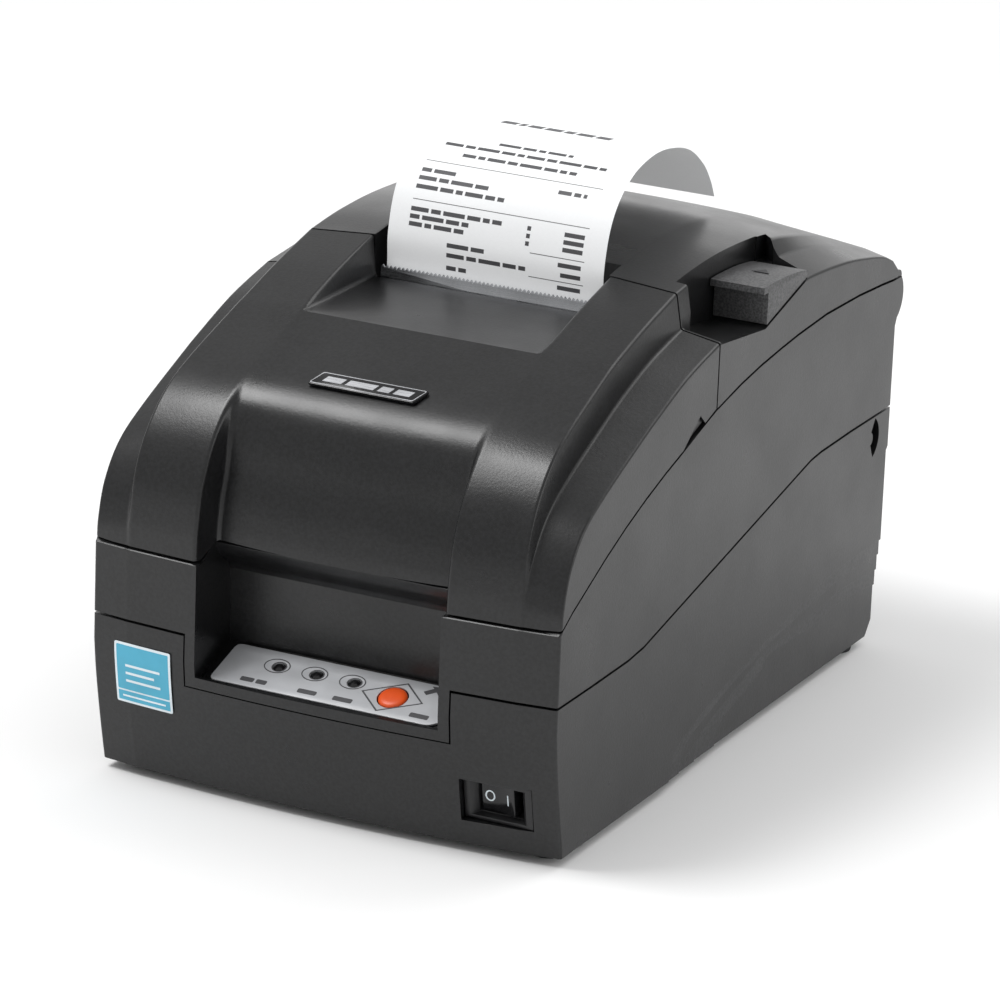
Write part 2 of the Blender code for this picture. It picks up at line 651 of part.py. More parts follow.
def front_sheet(x_low, x_high, z_low, z_high, thickness):
    """A thin closed sheet that follows the curved front of the lower case."""
    columns = 10
    rows = 10
    sheet = bmesh.new()
    layers = []
    for lift in (GAP, GAP + thickness):
        grid = []
        for i in range(columns + 1):
            x = x_low + (x_high - x_low) * i / columns
            heights = [z_low + (z_high - z_low) * j / rows for j in range(rows + 1)]
            grid.append([sheet.verts.new((x, front_y(x, z) - lift, z)) for z in heights])
        layers.append(grid)
    for grid in layers:
        for left, right in zip(grid, grid[1:]):
            for j in range(rows):
                sheet.faces.new((left[j], left[j + 1], right[j + 1], right[j]))
    rims = []
    for grid in layers:
        rims.append(grid[0] + [line[-1] for line in grid[1:]] + grid[-1][-2::-1] + [line[0] for line in grid[-2:0:-1]])
    for i in range(len(rims[0])):
        j = (i + 1) % len(rims[0])
        sheet.faces.new((rims[0][i], rims[0][j], rims[1][j], rims[1][i]))
    return outward(sheet)


def make_badges():
    lane = centre_path(0, 8)
    spot = min(lane, key=lambda point: abs(point[0] + 92.4))
    ahead = lane[lane.index(spot) + 1]
    slope = math.degrees(math.atan2(ahead[1] - spot[1], ahead[0] - spot[0]))
    outline = ((-20.5, -3.2), (18.6, -3.2), (21.1, 3.2), (-18.0, 3.2))
    base = spot[1] + GAP
    badge = plate("XY", [(x, y + spot[0]) for x, y in outline], base, base + 1.0)
    badge = tilted(badge, slope, (spot[0], spot[1]))
    part("nameplate", badge, paint("badge_silver", (0.75, 0.76, 0.78), 0.3, 0.6))
    part("front_label", front_sheet(-71.6, -50.7, 25.9, 46.4, 0.3), paint("label_blue", (0.12, 0.5, 0.68), 0.5))


def make_feet():
    rubber = paint("foot_rubber", (0.02, 0.02, 0.02), 0.85)
    for name, x, y in (("front_left", -70.5, -105), ("front_right", 70.5, -105), ("rear_left", -70, 108.6),
                       ("rear_right", 70, 108.6)):
        part("foot_" + name, rod((x, y, 0), (x, y, CASE_BOTTOM - GAP), 6.0, 20, 6.6), rubber)


# ---- Chassis and what is screwed to it ---------------------------------------------------------------------
def make_chassis():
    steel = paint("zinc_plated_steel", ZINC, 0.35, 0.9)
    floor = plate("XY", ((-CHASSIS_X - SHEET, -98), (CHASSIS_X + SHEET, -98), (CHASSIS_X + SHEET, -8),
                         (-CHASSIS_X - SHEET, -8)), CHASSIS_FLOOR, CHASSIS_FLOOR + SHEET,
                  [circle(spot, 1.9, 12) for spot in CHASSIS_POSTS[:2]])
    chassis = part("mech_chassis", floor, steel)
    side = ((-98, CHASSIS_FLOOR), (-8, CHASSIS_FLOOR), (-4, 60), (-4, 131), (-30, 138.6), (-60, 134), (-92, 120),
            (-98, 108))
    window = ((-90, 56), (-56, 56), (-56, 76), (-90, 76))
    shared = [window, circle((-78, 110), 4.0, 14)]
    drive = [circle(FEED_AXIS, 2.9, 16), circle(PINION_AXIS, 2.0, 12)]
    add(chassis, plate("YZ", side, -CHASSIS_X - SHEET, -CHASSIS_X, shared + drive),
        plate("YZ", side, CHASSIS_X, CHASSIS_X + SHEET, shared))
    shaft = rod_x(SHAFT_AXIS, -CHASSIS_X + GAP, CHASSIS_X - GAP, 4.0, 24)
    part("carriage_shaft", shaft, paint("ground_steel", STEEL, 0.15, 1.0))
    rail = block((-CHASSIS_X + GAP, -86, 102.6), (CHASSIS_X - GAP, -80, 104.5))
    part("carriage_rail", rail, steel)
    add(chassis, *[rod_x(LATCH_STUD, *sorted((side * (CHASSIS_X + 0.5), side * 53.5)), 1.5, 12) for side in (-1, 1)])
    add(chassis, rod((-PULLEY_X, PULLEY_Y, CHASSIS_FLOOR + 0.5), (-PULLEY_X, PULLEY_Y, 79.1), 5.0, 18))
    head = ((0, 2.1), (2.4, 1.9), (3.2, 1.0), (3.2, 0.3), (1.5, 0.3), (1.5, -13), (0, -14))
    screw_steel = paint("screw_steel", STEEL, 0.3, 1.0)
    for name, spot in zip(("right", "left"), CHASSIS_POSTS):
        part("chassis_screw_" + name, turned(head, (*spot, CHASSIS_FLOOR + SHEET), (0, 0, 1)), screw_steel)


def make_tear_bar():
    bar = block((-CHASSIS_X + GAP, -30, 137.3), (CHASSIS_X - GAP, -17.9, 138.3))
    bar = part("tear_bar", bar, paint("tear_bar_steel", STEEL, 0.3, 1.0))
    cut(bar, block((-CHASSIS_X, -23, 130), (-40.5, -10, 150)), block((40.5, -23, 130), (CHASSIS_X, -10, 150)))
    add(bar, block((-40.5, -18.9, 137.9), (40.5, -17.9, 146.9)))


def make_carriage():
    resin = paint("carriage_resin", (0.03, 0.03, 0.032), 0.4)
    body = part("head_carriage", block((-13, -60, 92.5), (13, -44, 107.5)), resin, (0, *SHAFT_AXIS))
    add(body, block((-13, -45, 92.5), (13, -30, 99.4)), block((-9, -87, 104.8), (9, -59, 107.5)),
        block((-5, -62.4, BELT_Z[0]), (5, -56, 93)))
    cut(body, rod_x(SHAFT_AXIS, -20, 20, 4.35, 24))
    head = part("print_head", block((-10, -43.6, 99.8), (10, -28, 123.6)), paint("head_alloy", ZINC, 0.45, 0.9),
                (0, *SHAFT_AXIS))
    add(head, block((-4, -29, 112.5), (4, -21.2, 121)))
    fins = [block((-11, y, 108), (11, y + 1.8, 130)) for y in (-42, -38.5, -35, -31.5)]
    cut(head, *fins)


def make_belt_drive():
    profile = ((0, 91), (7.8, 91), (7.8, 90.4), (5.9, 90.4), (5.9, 83.6), (7.8, 83.6), (7.8, 83), (2, 83), (2, 79.4),
               (0, 79.4))
    brass = paint("pulley_brass", (0.55, 0.4, 0.14), 0.35, 0.9)
    for name, x in (("drive_pulley", PULLEY_X), ("idler_pulley", -PULLEY_X)):
        part(name, turned(profile, (x, PULLEY_Y, 0), (0, 0, 1)), brass, (x, PULLEY_Y, 0))
    inner = (arc((PULLEY_X, PULLEY_Y), PULLEY_RADIUS + 0.2, -90, 90, 8)
             + arc((-PULLEY_X, PULLEY_Y), PULLEY_RADIUS + 0.2, 90, 270, 8))
    outer = (arc((PULLEY_X, PULLEY_Y), PULLEY_RADIUS + 1.2, -90, 90, 8)
             + arc((-PULLEY_X, PULLEY_Y), PULLEY_RADIUS + 1.2, 90, 270, 8))
    part("drive_belt", plate("XY", outer, *BELT_Z, [inner]), paint("belt_rubber", (0.015, 0.015, 0.015), 0.8))
    floor = CHASSIS_FLOOR + SHEET + GAP
    motor = turned(((0, 79.1), (4, 79.1), (4, 77.6), (16, 77.6), (16.4, 76.6), (16.4, floor + 1), (15.4, floor),
                    (0, floor)), (PULLEY_X, PULLEY_Y, 0), (0, 0, 1))
    part("carriage_motor", motor, paint("motor_steel", ZINC, 0.4, 0.8))


# ---- Paper feed --------------------------------------------------------------------------------------------
def gear_outline(centre, teeth, phase):
    pitch = GEAR_MODULE * teeth / 2
    tip = pitch + 0.8 * GEAR_MODULE
    root = pitch - 1.1 * GEAR_MODULE
    step = 2 * math.pi / teeth
    points = []
    for tooth in range(teeth):
        middle = phase + tooth * step
        for share, radius in ((-0.26, root), (-0.14, tip), (0.14, tip), (0.26, root)):
            angle = middle + share * step
            points.append((centre[0] + radius * math.cos(angle), centre[1] + radius * math.sin(angle)))
    return points


def small_idler_axis():
    """Where the small idler meshes with both the roller's gear and the large idler."""
    start = Vector(FEED_AXIS)
    line = Vector(LARGE_IDLER_AXIS) - start
    first = GEAR_MODULE * (ROLLER_TEETH + SMALL_IDLER_TEETH) / 2
    second = GEAR_MODULE * (SMALL_IDLER_TEETH + LARGE_IDLER_TEETH) / 2
    along = (first ** 2 - second ** 2 + line.length_squared) / (2 * line.length)
    across = math.sqrt(first ** 2 - along ** 2)
    unit = line.normalized()
    return tuple(start + unit * along + Vector((unit.y, -unit.x)) * across)


def meshed_phase(axis, teeth, phase, next_axis, next_teeth):
    """The next gear's phase, so that its gap faces a tooth along the line of centres."""
    line = math.atan2(next_axis[1] - axis[1], next_axis[0] - axis[0])
    return line + math.pi - (math.pi - teeth * (line - phase)) / next_teeth


def make_feed():
    nylon = paint("gear_nylon", (0.78, 0.77, 0.72), 0.45)
    rubber = paint("roller_rubber", (0.05, 0.05, 0.055), 0.7)
    x_low, x_high = GEAR_X
    small_axis = small_idler_axis()
    train = (("feed_roller_gear", FEED_AXIS, ROLLER_TEETH), ("feed_idler_small", small_axis, SMALL_IDLER_TEETH),
             ("feed_idler_large", LARGE_IDLER_AXIS, LARGE_IDLER_TEETH), ("feed_pinion", PINION_AXIS, PINION_TEETH))
    phase = 0.0
    before = None
    for name, axis, teeth in train:
        if before:
            phase = meshed_phase(before[0], before[1], phase, axis, teeth)
        idler = name.startswith("feed_idler")
        holes = [circle(axis, GEAR_STUD + GAP, 14)] if idler else []
        gear = plate("YZ", gear_outline(axis, teeth, phase), x_low, x_high, holes)
        gear = part(name, gear, nylon, (0, *axis))
        if name == "feed_pinion":
            add(gear, rod_x(axis, -65, -56, 1.5, 14))
        before = (axis, teeth)
    add(bpy.data.objects["mech_chassis"],
        *[rod_x(axis, x_low - 1, -CHASSIS_X - 0.5, GEAR_STUD, 14) for axis in (small_axis, LARGE_IDLER_AXIS)])
    bands = ((36, 28), (14, 6), (-6, -14), (-28, -36))
    roller = [(0, 58), (2.5, 58)]
    pinch = [(0, 43.2), (1.5, 43.2)]
    for high, low in bands:
        roller += [(2.5, high), (FEED_RADIUS, high), (FEED_RADIUS, low), (2.5, low)]
        pinch += [(1.5, high), (PINCH_RADIUS, high), (PINCH_RADIUS, low), (1.5, low)]
    roller += [(2.5, x_high + GAP), (0, x_high + GAP)]
    pinch += [(1.5, -43.2), (0, -43.2)]
    part("feed_roller", turned(roller, (0, *FEED_AXIS), (1, 0, 0)), rubber, (0, *FEED_AXIS))
    part("pinch_roller", turned(pinch, (0, *PINCH_AXIS), (1, 0, 0)), rubber, (0, *PINCH_AXIS))
    motor = part("feed_motor", rod_x(PINION_AXIS, -CHASSIS_X + GAP, -43.2, 16.5, 28),
                 paint("feed_motor_steel", ZINC, 0.4, 0.8))
    cut(motor, rod_x(PINION_AXIS, -64, -54, 1.9, 14))


def make_platen():
    steel = paint("platen_steel", STEEL, 0.25, 1.0)
    part("platen", block((-43.6, -14.9, 112), (43.6, -10, 124)), steel)
    side = ((-14.9, 111), (-4, 111), (-4, 151), (-14.9, 151))
    bracket = part("platen_bracket", block((-44.5, -9.4, 111), (44.5, -8.2, 125)), steel)
    add(bracket, *[plate("YZ", side, *sorted((side_x * 44, side_x * 45.2))) for side_x in (-1, 1)])


def make_ribbon():
    black = paint("cartridge_black", BLACK, 0.5)
    outline = ((-60, -96), (60, -96), (60, -22), (46, -22), (46, -62), (-46, -62), (-46, -22), (-60, -22))
    part("ribbon_cartridge", plate("XY", outline, 110, 124), black)
    path = [(-54, -21.6), (-51, -18.4), (51, -18.4), (54, -21.6)]
    ribbon = plate("XY", band(path, 0.4), 111, 123)
    part("ribbon_strip", ribbon, paint("inked_ribbon", (0.03, 0.02, 0.05), 0.9))
    ridges = 10
    knob = [(-40 + (6.6 + 0.8 * (i % 2)) * math.cos(math.pi * i / ridges),
             -80 + (6.6 + 0.8 * (i % 2)) * math.sin(math.pi * i / ridges)) for i in range(2 * ridges)]
    part("ribbon_knob", plate("XY", knob, 124.3, 129), paint("knob_blue", (0.05, 0.12, 0.3), 0.4), (-40, -80, 0))


# ---- Paper -------------------------------------------------------------------------------------------------
def make_paper():
    white = paint("thermal_white", (0.86, 0.86, 0.86), 0.6)
    centre = (0, *ROLL_CENTRE)
    part("paper_roll", tube(centre, (1, 0, 0), ROLL_RADIUS, CORE_OUTER + GAP, 2 * PAPER_HALF), white, centre)
    core = tube(centre, (1, 0, 0), CORE_OUTER, CORE_INNER, 2 * PAPER_HALF)
    part("roll_core", core, paint("core_card", (0.45, 0.33, 0.2), 0.8), centre)
    rise = [(PAPER_Y, 126), (PAPER_Y, 136)]
    curl = smooth_path([(PAPER_Y, 136), (PAPER_Y, 147), (-15.7, 157), (-12.4, 169), (-5.8, 177.6), (4.4, 183.6),
                        (18, 186.3), (31, 185.5), (44.4, 181.8), (55.6, 174.4), (61.8, 167.2), (64.8, 161.8)], 2)
    strip = plate("YZ", band(rise[:1] + curl, PAPER_THICK), -PAPER_HALF, PAPER_HALF)
    part("receipt_strip", strip, paint("receipt_white", (0.9, 0.9, 0.9), 0.6))
    tangent, lean = web_tangent(WEB_RADIUS, ROLL_RADIUS + 0.5)
    web = [(PAPER_Y, 125.4)] + arc(WEB_TURN, WEB_RADIUS, 180, 270 - lean, 8)
    web.append(tuple(Vector(ROLL_CENTRE) + tangent * (ROLL_RADIUS + 0.5)))
    part("paper_web", plate("YZ", band(web, PAPER_THICK), -PAPER_HALF, PAPER_HALF), white)


def web_tangent(turn_radius, roll_radius):
    """The downward normal of the straight web between the bend and the roll, and its slope in degrees."""
    line = Vector(ROLL_CENTRE) - Vector(WEB_TURN)
    slope = math.asin((roll_radius - turn_radius) / line.length) - math.atan2(line.y, line.x)
    return Vector((-math.sin(slope), -math.cos(slope))), math.degrees(slope)


def make_paper_path():
    guide_radius = WEB_RADIUS + 2
    tangent, lean = web_tangent(WEB_RADIUS, ROLL_RADIUS + 0.5)
    path = [(WEB_TURN[0] - guide_radius, 106)] + arc(WEB_TURN, guide_radius, 180, 245, 7)
    steel = paint("guide_steel", ZINC, 0.35, 0.9)
    part("paper_guide", plate("YZ", band(path, 1.0), -41, 41), steel)
    front = -3.0
    normal_degrees = math.degrees(math.atan2(tangent.y, tangent.x))
    outlines = []
    for radius, top in ((44.2, 112), (42.2, 130)):
        foot = Vector(ROLL_CENTRE) + tangent * radius
        run = (foot.x - front) * math.tan(math.radians(lean))
        start = math.degrees(math.asin((112 - ROLL_CENTRE[1]) / radius))
        bend = arc(ROLL_CENTRE, radius, start, normal_degrees, 14)
        outlines.append([(bend[0][0], top)] * (top > 112) + bend + [(front - (top > 112), foot.y + run)])
    outer = outlines[0] + [(front, 86), (18, 112)]
    inner = outlines[1] + [(front - 1, 130)]
    bucket = part("roll_bucket", plate("YZ", outer, -42.5, 42.5), paint("bucket_abs", CHARCOAL, 0.5))
    cut(bucket, plate("YZ", inner, -40.3, 40.3))
    add(bucket, rod_x(NEAR_END_PIN, 41.5, 47, 1.5, 14))
    lever = ((87.5, 59), (87, 66), (70, 93), (66.5, 92.5), (80, 60.5), (83.6, 57.6))
    part("near_end_lever", plate("YZ", lever, 43.2, 45.0, [circle(NEAR_END_PIN, 1.8, 14)]),
         paint("lever_grey", (0.3, 0.3, 0.31), 0.5), (0, *NEAR_END_PIN))


# ---- Cover lever, latch, hinges ----------------------------------------------------------------------------
def make_lever_and_latch():
    outline = ((13.8, 150.4), (13.8, 148.3), (17.0, 148.2), (17.0, 137.8), (46.4, 146.0), (47.6, 147.3), (46.6, 148.6),
               (32, 150.2))
    lever = plate("YZ", outline, 61.0, 79.7)
    part("cover_lever", lever, paint("lever_charcoal", CHARCOAL, 0.4), (0, *LEVER_PIVOT))
    steel = paint("latch_steel", ZINC, 0.35, 0.9)
    latch = part("latch_shaft", rod_x(LATCH_AXIS, -56.5, 56.5, 2.0, 16), steel, (0, *LATCH_AXIS))
    hook = ((9, 134), (3, 134.4), (-3, 124), (-10.2, 119), (-10.2, 116.6), (-2, 116), (4, 122), (10, 128))
    for side in (-1, 1):
        add(latch, plate("YZ", hook, *sorted((side * 53.6, side * 55.6))))


def make_hinges():
    steel = paint("hinge_steel", STEEL, 0.25, 1.0)
    for name, x in (("left", -77.9), ("right", 62.4)):
        part("hinge_pin_" + name, rod_x(REAR_HINGE, x, x + 15.5, 1.0, 14), steel)
    sector = arc(FRONT_HINGE, 10.5, -60, 72, 9) + arc(FRONT_HINGE, 8.0, 72, -60, 9)
    add(bpy.data.objects["front_cover"],
        *[plate("YZ", sector, *sorted((side * 51, side * 54))) for side in (-1, 1)])


# ---- Electronics and rear connectors -----------------------------------------------------------------------
def make_electronics():
    board = plate("XY", ((-64, -8), (64, -8), (64, 108), (-64, 108)), *BOARD_Z,
                  [circle(spot, 1.7, 12) for spot in BOARD_POSTS])
    part("main_board", board, paint("main_board_green", (0.01, 0.09, 0.035), 0.4))
    part("smoothing_capacitor", rod((36, 24, PART_Z), (36, 24, 38), 9.0, 24), paint("can_blue", (0.02, 0.04, 0.16), 0.35))
    comb = [(-50, PART_Z), (-20, PART_Z)]
    for fin in range(6):
        right = -20 - fin * 5.4
        comb += [(right, 34), (right - 3.0, 34)]
        if fin < 5:
            comb += [(right - 3.0, PART_Z + 3), (right - 5.4, PART_Z + 3)]
    part("heat_sink", plate("XZ", comb, 20, 48), paint("sink_aluminium", ZINC, 0.4, 0.9))
    chip = block((-24, 60, PART_Z), (-2, 82, PART_Z + 2))
    part("processor_chip", chip, paint("chip_black", BLACK, 0.4))


def make_rear_panel():
    ports = {"interface_port": (-46, -6, 19, 32), "drawer_port": (6, 21, 17.6, 31)}
    holes = [((a - 0.4, c - 0.4), (b + 0.4, c - 0.4), (b + 0.4, d + 0.4), (a - 0.4, d + 0.4))
             for a, b, c, d in ports.values()]
    holes.append(circle((40, 27), 8.4, 20))
    panel = plate("XZ", ((-64, 14.4), (64, 14.4), (64, 63), (-64, 63)), 117.2, 118.4, holes)
    part("rear_panel", panel, paint("panel_steel", ZINC, 0.35, 0.9))
    shells = (paint("port_steel", STEEL, 0.3, 1.0), paint("jack_black", BLACK, 0.4))
    for (name, (a, b, c, d)), material in zip(ports.items(), shells):
        port = part(name, block((a, 109, c), (b, 120.8, d)), material)
        cut(port, block((a + 1.4, 112, c + 1.4), (b - 1.4, 125, d - 1.4)))
    inlet = part("power_inlet", rod((40, 109, 27), (40, 120.8, 27), 8.0, 20), shells[1])
    cut(inlet, rod((40, 112, 27), (40, 125, 27), 6.0, 20))


def make_printer():
    make_casing()
    make_panel()
    make_switch()
    make_badges()
    make_feet()
    make_chassis()
    make_tear_bar()
    make_carriage()
    make_belt_drive()
    make_feed()
    make_platen()
    make_ribbon()
    make_paper()
    make_paper_path()
    make_lever_and_latch()
    make_hinges()
    make_electronics()
    make_rear_panel()


make_printer()
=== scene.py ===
"""The looks of the receipt printer: fine casing shells, print, marks, materials, light and camera.

Lengths inside the geometry code are millimetres; SCALE turns them into metres.
"""
import math

import bmesh
import bpy
from mathutils import Matrix, Vector


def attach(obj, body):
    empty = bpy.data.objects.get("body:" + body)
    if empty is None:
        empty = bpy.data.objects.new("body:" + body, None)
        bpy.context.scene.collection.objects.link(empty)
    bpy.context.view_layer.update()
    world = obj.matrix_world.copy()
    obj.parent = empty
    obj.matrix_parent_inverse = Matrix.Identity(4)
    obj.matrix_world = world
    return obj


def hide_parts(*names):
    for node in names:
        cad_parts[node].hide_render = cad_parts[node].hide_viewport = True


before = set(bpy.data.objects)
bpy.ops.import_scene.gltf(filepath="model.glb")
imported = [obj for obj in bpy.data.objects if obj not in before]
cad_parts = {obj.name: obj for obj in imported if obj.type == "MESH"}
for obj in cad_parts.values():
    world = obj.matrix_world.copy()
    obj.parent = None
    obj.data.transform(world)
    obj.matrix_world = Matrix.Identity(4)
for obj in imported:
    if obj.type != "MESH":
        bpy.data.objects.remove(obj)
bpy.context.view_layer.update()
SCALE = 0.001

# ---- Camera ----------------------------------------------------------
CAMERA_PLACE = (0.7772, -1.5822, 0.6607)
AZIMUTH, ELEVATION, ROLL = 26.269, 18.563, 2.243
LENS, SENSOR = 209.0, 36.0
SHIFT_X, SHIFT_Y = 0.0031, 0.0030


def add_camera():
    azimuth, elevation, roll = (math.radians(a) for a in (AZIMUTH, ELEVATION, ROLL))
    back = Vector((math.sin(azimuth) * math.cos(elevation), -math.cos(azimuth) * math.cos(elevation),
                   math.sin(elevation)))
    level = Vector((math.cos(azimuth), math.sin(azimuth), 0))
    upright = back.cross(level)
    right = level * math.cos(roll) + upright * math.sin(roll)
    up = upright * math.cos(roll) - level * math.sin(roll)
    data = bpy.data.cameras.new("camera")
    data.lens = LENS
    data.sensor_width = SENSOR
    data.shift_x = SHIFT_X
    data.shift_y = SHIFT_Y
    data.clip_start = 0.05
    data.clip_end = 20
    camera = bpy.data.objects.new("camera", data)
    camera.matrix_world = Matrix.Translation(CAMERA_PLACE) @ Matrix((right, up, back)).transposed().to_4x4()
    bpy.context.scene.collection.objects.link(camera)
    bpy.context.scene.camera = camera


add_camera()


# ---- Solids in millimetres -------------------------------------------
SCENE = bpy.context.scene.collection
scrap = []


def outward(solid):
    bmesh.ops.recalc_face_normals(solid, faces=solid.faces)
    if solid.calc_volume(signed=True) < 0:
        bmesh.ops.reverse_faces(solid, faces=solid.faces)
    return solid


def moved(solid, matrix):
    bmesh.ops.transform(solid, matrix=matrix, verts=solid.verts)
    return solid


def linked(name, data):
    result = bpy.data.objects.new(name, data)
    SCENE.objects.link(result)
    return result


def block(low, high):
    solid = bmesh.new()
    bmesh.ops.create_cube(solid, size=1.0)
    size = Vector(high) - Vector(low)
    centre = (Vector(high) + Vector(low)) / 2
    return moved(solid, Matrix.Translation(centre) @ Matrix.Diagonal((*size, 1.0)))


def plate(plane, outline, low, high, holes=()):
    """A flat outline with holes, filled and extruded along the plane's normal."""
    curve = bpy.data.curves.new("outline", "CURVE")
    curve.dimensions = "2D"
    curve.fill_mode = "BOTH"
    curve.extrude = (high - low) / 2
    for loop in (outline, *holes):
        spline = curve.splines.new("POLY")
        spline.points.add(len(loop) - 1)
        for point, (u, v) in zip(spline.points, loop):
            point.co = (u, v, 0, 1)
        spline.use_cyclic_u = True
    holder = linked("outline", curve)
    graph = bpy.context.evaluated_depsgraph_get()
    mesh = bpy.data.meshes.new_from_object(holder.evaluated_get(graph))
    bpy.data.objects.remove(holder)
    bpy.data.curves.remove(curve)
    solid = bmesh.new()
    solid.from_mesh(mesh)
    bpy.data.meshes.remove(mesh)
    bmesh.ops.remove_doubles(solid, verts=solid.verts, dist=0.001)
    bmesh.ops.dissolve_limit(solid, angle_limit=0.001, verts=solid.verts, edges=solid.edges)
    middle = (low + high) / 2
    for vert in solid.verts:
        u, v, w = vert.co
        vert.co = {"XY": (u, v, w + middle), "YZ": (w + middle, u, v), "XZ": (u, w + middle, v)}[plane]
    return outward(solid)


def rod(start, end, radius, sides=32):
    start = Vector(start)
    along = Vector(end) - start
    solid = bmesh.new()
    bmesh.ops.create_cone(solid, cap_ends=True, segments=sides, radius1=radius, radius2=radius,
                          depth=along.length)
    turn = along.to_track_quat("Z", "Y").to_matrix().to_4x4()
    return moved(solid, Matrix.Translation(start + along / 2) @ turn)


def rod_x(axis, x_low, x_high, radius, sides=32):
    return rod((x_low, *axis), (x_high, *axis), radius, sides)


def turned(profile, sides=48):
    """A profile of (radius, height), top to bottom, turned about Z. It starts and ends on the axis."""
    solid = bmesh.new()
    rings = []
    for radius, height in profile:
        spots = circle((0, 0), radius, sides) if radius else [(0, 0)]
        rings.append([solid.verts.new((*spot, height)) for spot in spots])
    for upper, lower in zip(rings, rings[1:]):
        for i in range(sides):
            j = (i + 1) % sides
            loop = [upper[i % len(upper)], upper[j % len(upper)],
                    lower[j % len(lower)], lower[i % len(lower)]]
            solid.faces.new(list(dict.fromkeys(loop)))
    return outward(solid)


def to_object(name, solid):
    bmesh.ops.scale(solid, vec=(SCALE,) * 3, verts=solid.verts)
    mesh = bpy.data.meshes.new(name)
    solid.to_mesh(mesh)
    solid.free()
    return linked(name, mesh)


def apply_modifiers(target):
    graph = bpy.context.evaluated_depsgraph_get()
    mesh = bpy.data.meshes.new_from_object(target.evaluated_get(graph))
    target.modifiers.clear()
    old = target.data
    target.data = mesh
    bpy.data.meshes.remove(old)


def combine(target, operation, *tools):
    """Booleans with bmeshes or objects, applied at once."""
    for tool in tools:
        if isinstance(tool, bmesh.types.BMesh):
            tool = to_object("tool", tool)
            scrap.append(tool)
        step = target.modifiers.new("combine", "BOOLEAN")
        step.operation = operation
        step.solver = "EXACT"
        step.object = tool
    apply_modifiers(target)
    for tool in scrap:
        bpy.data.objects.remove(tool)
    scrap.clear()
    return target


def cut(target, *tools):
    return combine(target, "DIFFERENCE", *tools)


def add(target, *tools):
    return combine(target, "UNION", *tools)


# ---- Curves ----------------------------------------------------------
def smooth_path(points, samples):
    """Points along a smooth curve through the given points, as many samples for each interval."""
    path = []
    last = len(points) - 1
    for i in range(last):
        before, start, end, after = (Vector(points[min(max(i + k, 0), last)]) for k in (-1, 0, 1, 2))
        for step in range(samples):
            t = step / samples
            point = (start * 2 + (end - before) * t + (before * 2 - start * 5 + end * 4 - after) * t * t
                     + (start * 3 - before - end * 3 + after) * t ** 3) / 2
            path.append(tuple(point))
    path.append(tuple(points[last]))
    return path


def arc(centre, radius, from_degrees, to_degrees, steps):
    points = []
    for step in range(steps + 1):
        angle = math.radians(from_degrees + (to_degrees - from_degrees) * step / steps)
        points.append((centre[0] + radius * math.cos(angle), centre[1] + radius * math.sin(angle)))
    return points


def circle(centre, radius, sides=40):
    return arc(centre, radius, 0, 360, sides)[:-1]


def oval(centre, wide, tall, sides=40):
    return [(centre[0] + wide * x, centre[1] + tall * y) for x, y in circle((0, 0), 1.0, sides)]


def band(path, thickness):
    """The closed outline of a strip with the path as its middle line."""
    half = thickness / 2
    left = []
    right = []
    for i, point in enumerate(path):
        before = Vector(path[max(i - 1, 0)])
        after = Vector(path[min(i + 1, len(path) - 1)])
        along = (after - before).normalized()
        side = Vector((-along.y, along.x)) * half
        left.append(tuple(Vector(point) + side))
        right.append(tuple(Vector(point) - side))
    return left + right[::-1]


def inset(outline, distance):
    """Move each edge of a closed clockwise outline inwards."""
    result = []
    count = len(outline)
    for i in range(count):
        point = Vector(outline[i])
        first = (point - Vector(outline[i - 1])).normalized()
        second = (Vector(outline[(i + 1) % count]) - point).normalized()
        normal_1 = Vector((first.y, -first.x))
        normal_2 = Vector((second.y, -second.x))
        middle = (normal_1 + normal_2).normalized()
        result.append(tuple(point + middle * distance / max(middle.dot(normal_1), 0.5)))
    return result


def corner(before, point, after, radius, steps):
    """Points that round one corner, from half-way along its edges at most."""
    before, point, after = Vector(before), Vector(point), Vector(after)
    reach = min(radius, 0.48 * (before - point).length, 0.48 * (after - point).length)
    start = point + (before - point).normalized() * reach
    end = point + (after - point).normalized() * reach
    parts = [step / steps for step in range(steps + 1)]
    return [start * (1 - t) ** 2 + point * 2 * t * (1 - t) + end * t * t for t in parts]


def rounded(points, radii, steps=4):
    """Round each inner corner of an open polyline; radius 0 keeps the corner as one point."""
    result = [Vector(points[0])]
    for before, point, after, radius in zip(points, points[1:], points[2:], radii[1:]):
        result += corner(before, point, after, radius, steps) if radius else [Vector(point)]
    result.append(Vector(points[-1]))
    return result


def rounded_loop(points, radius, steps=5):
    """A closed outline with rounded corners."""
    result = []
    for i, point in enumerate(points):
        after = points[(i + 1) % len(points)]
        result += [tuple(spot) for spot in corner(points[i - 1], point, after, radius, steps)]
    return result


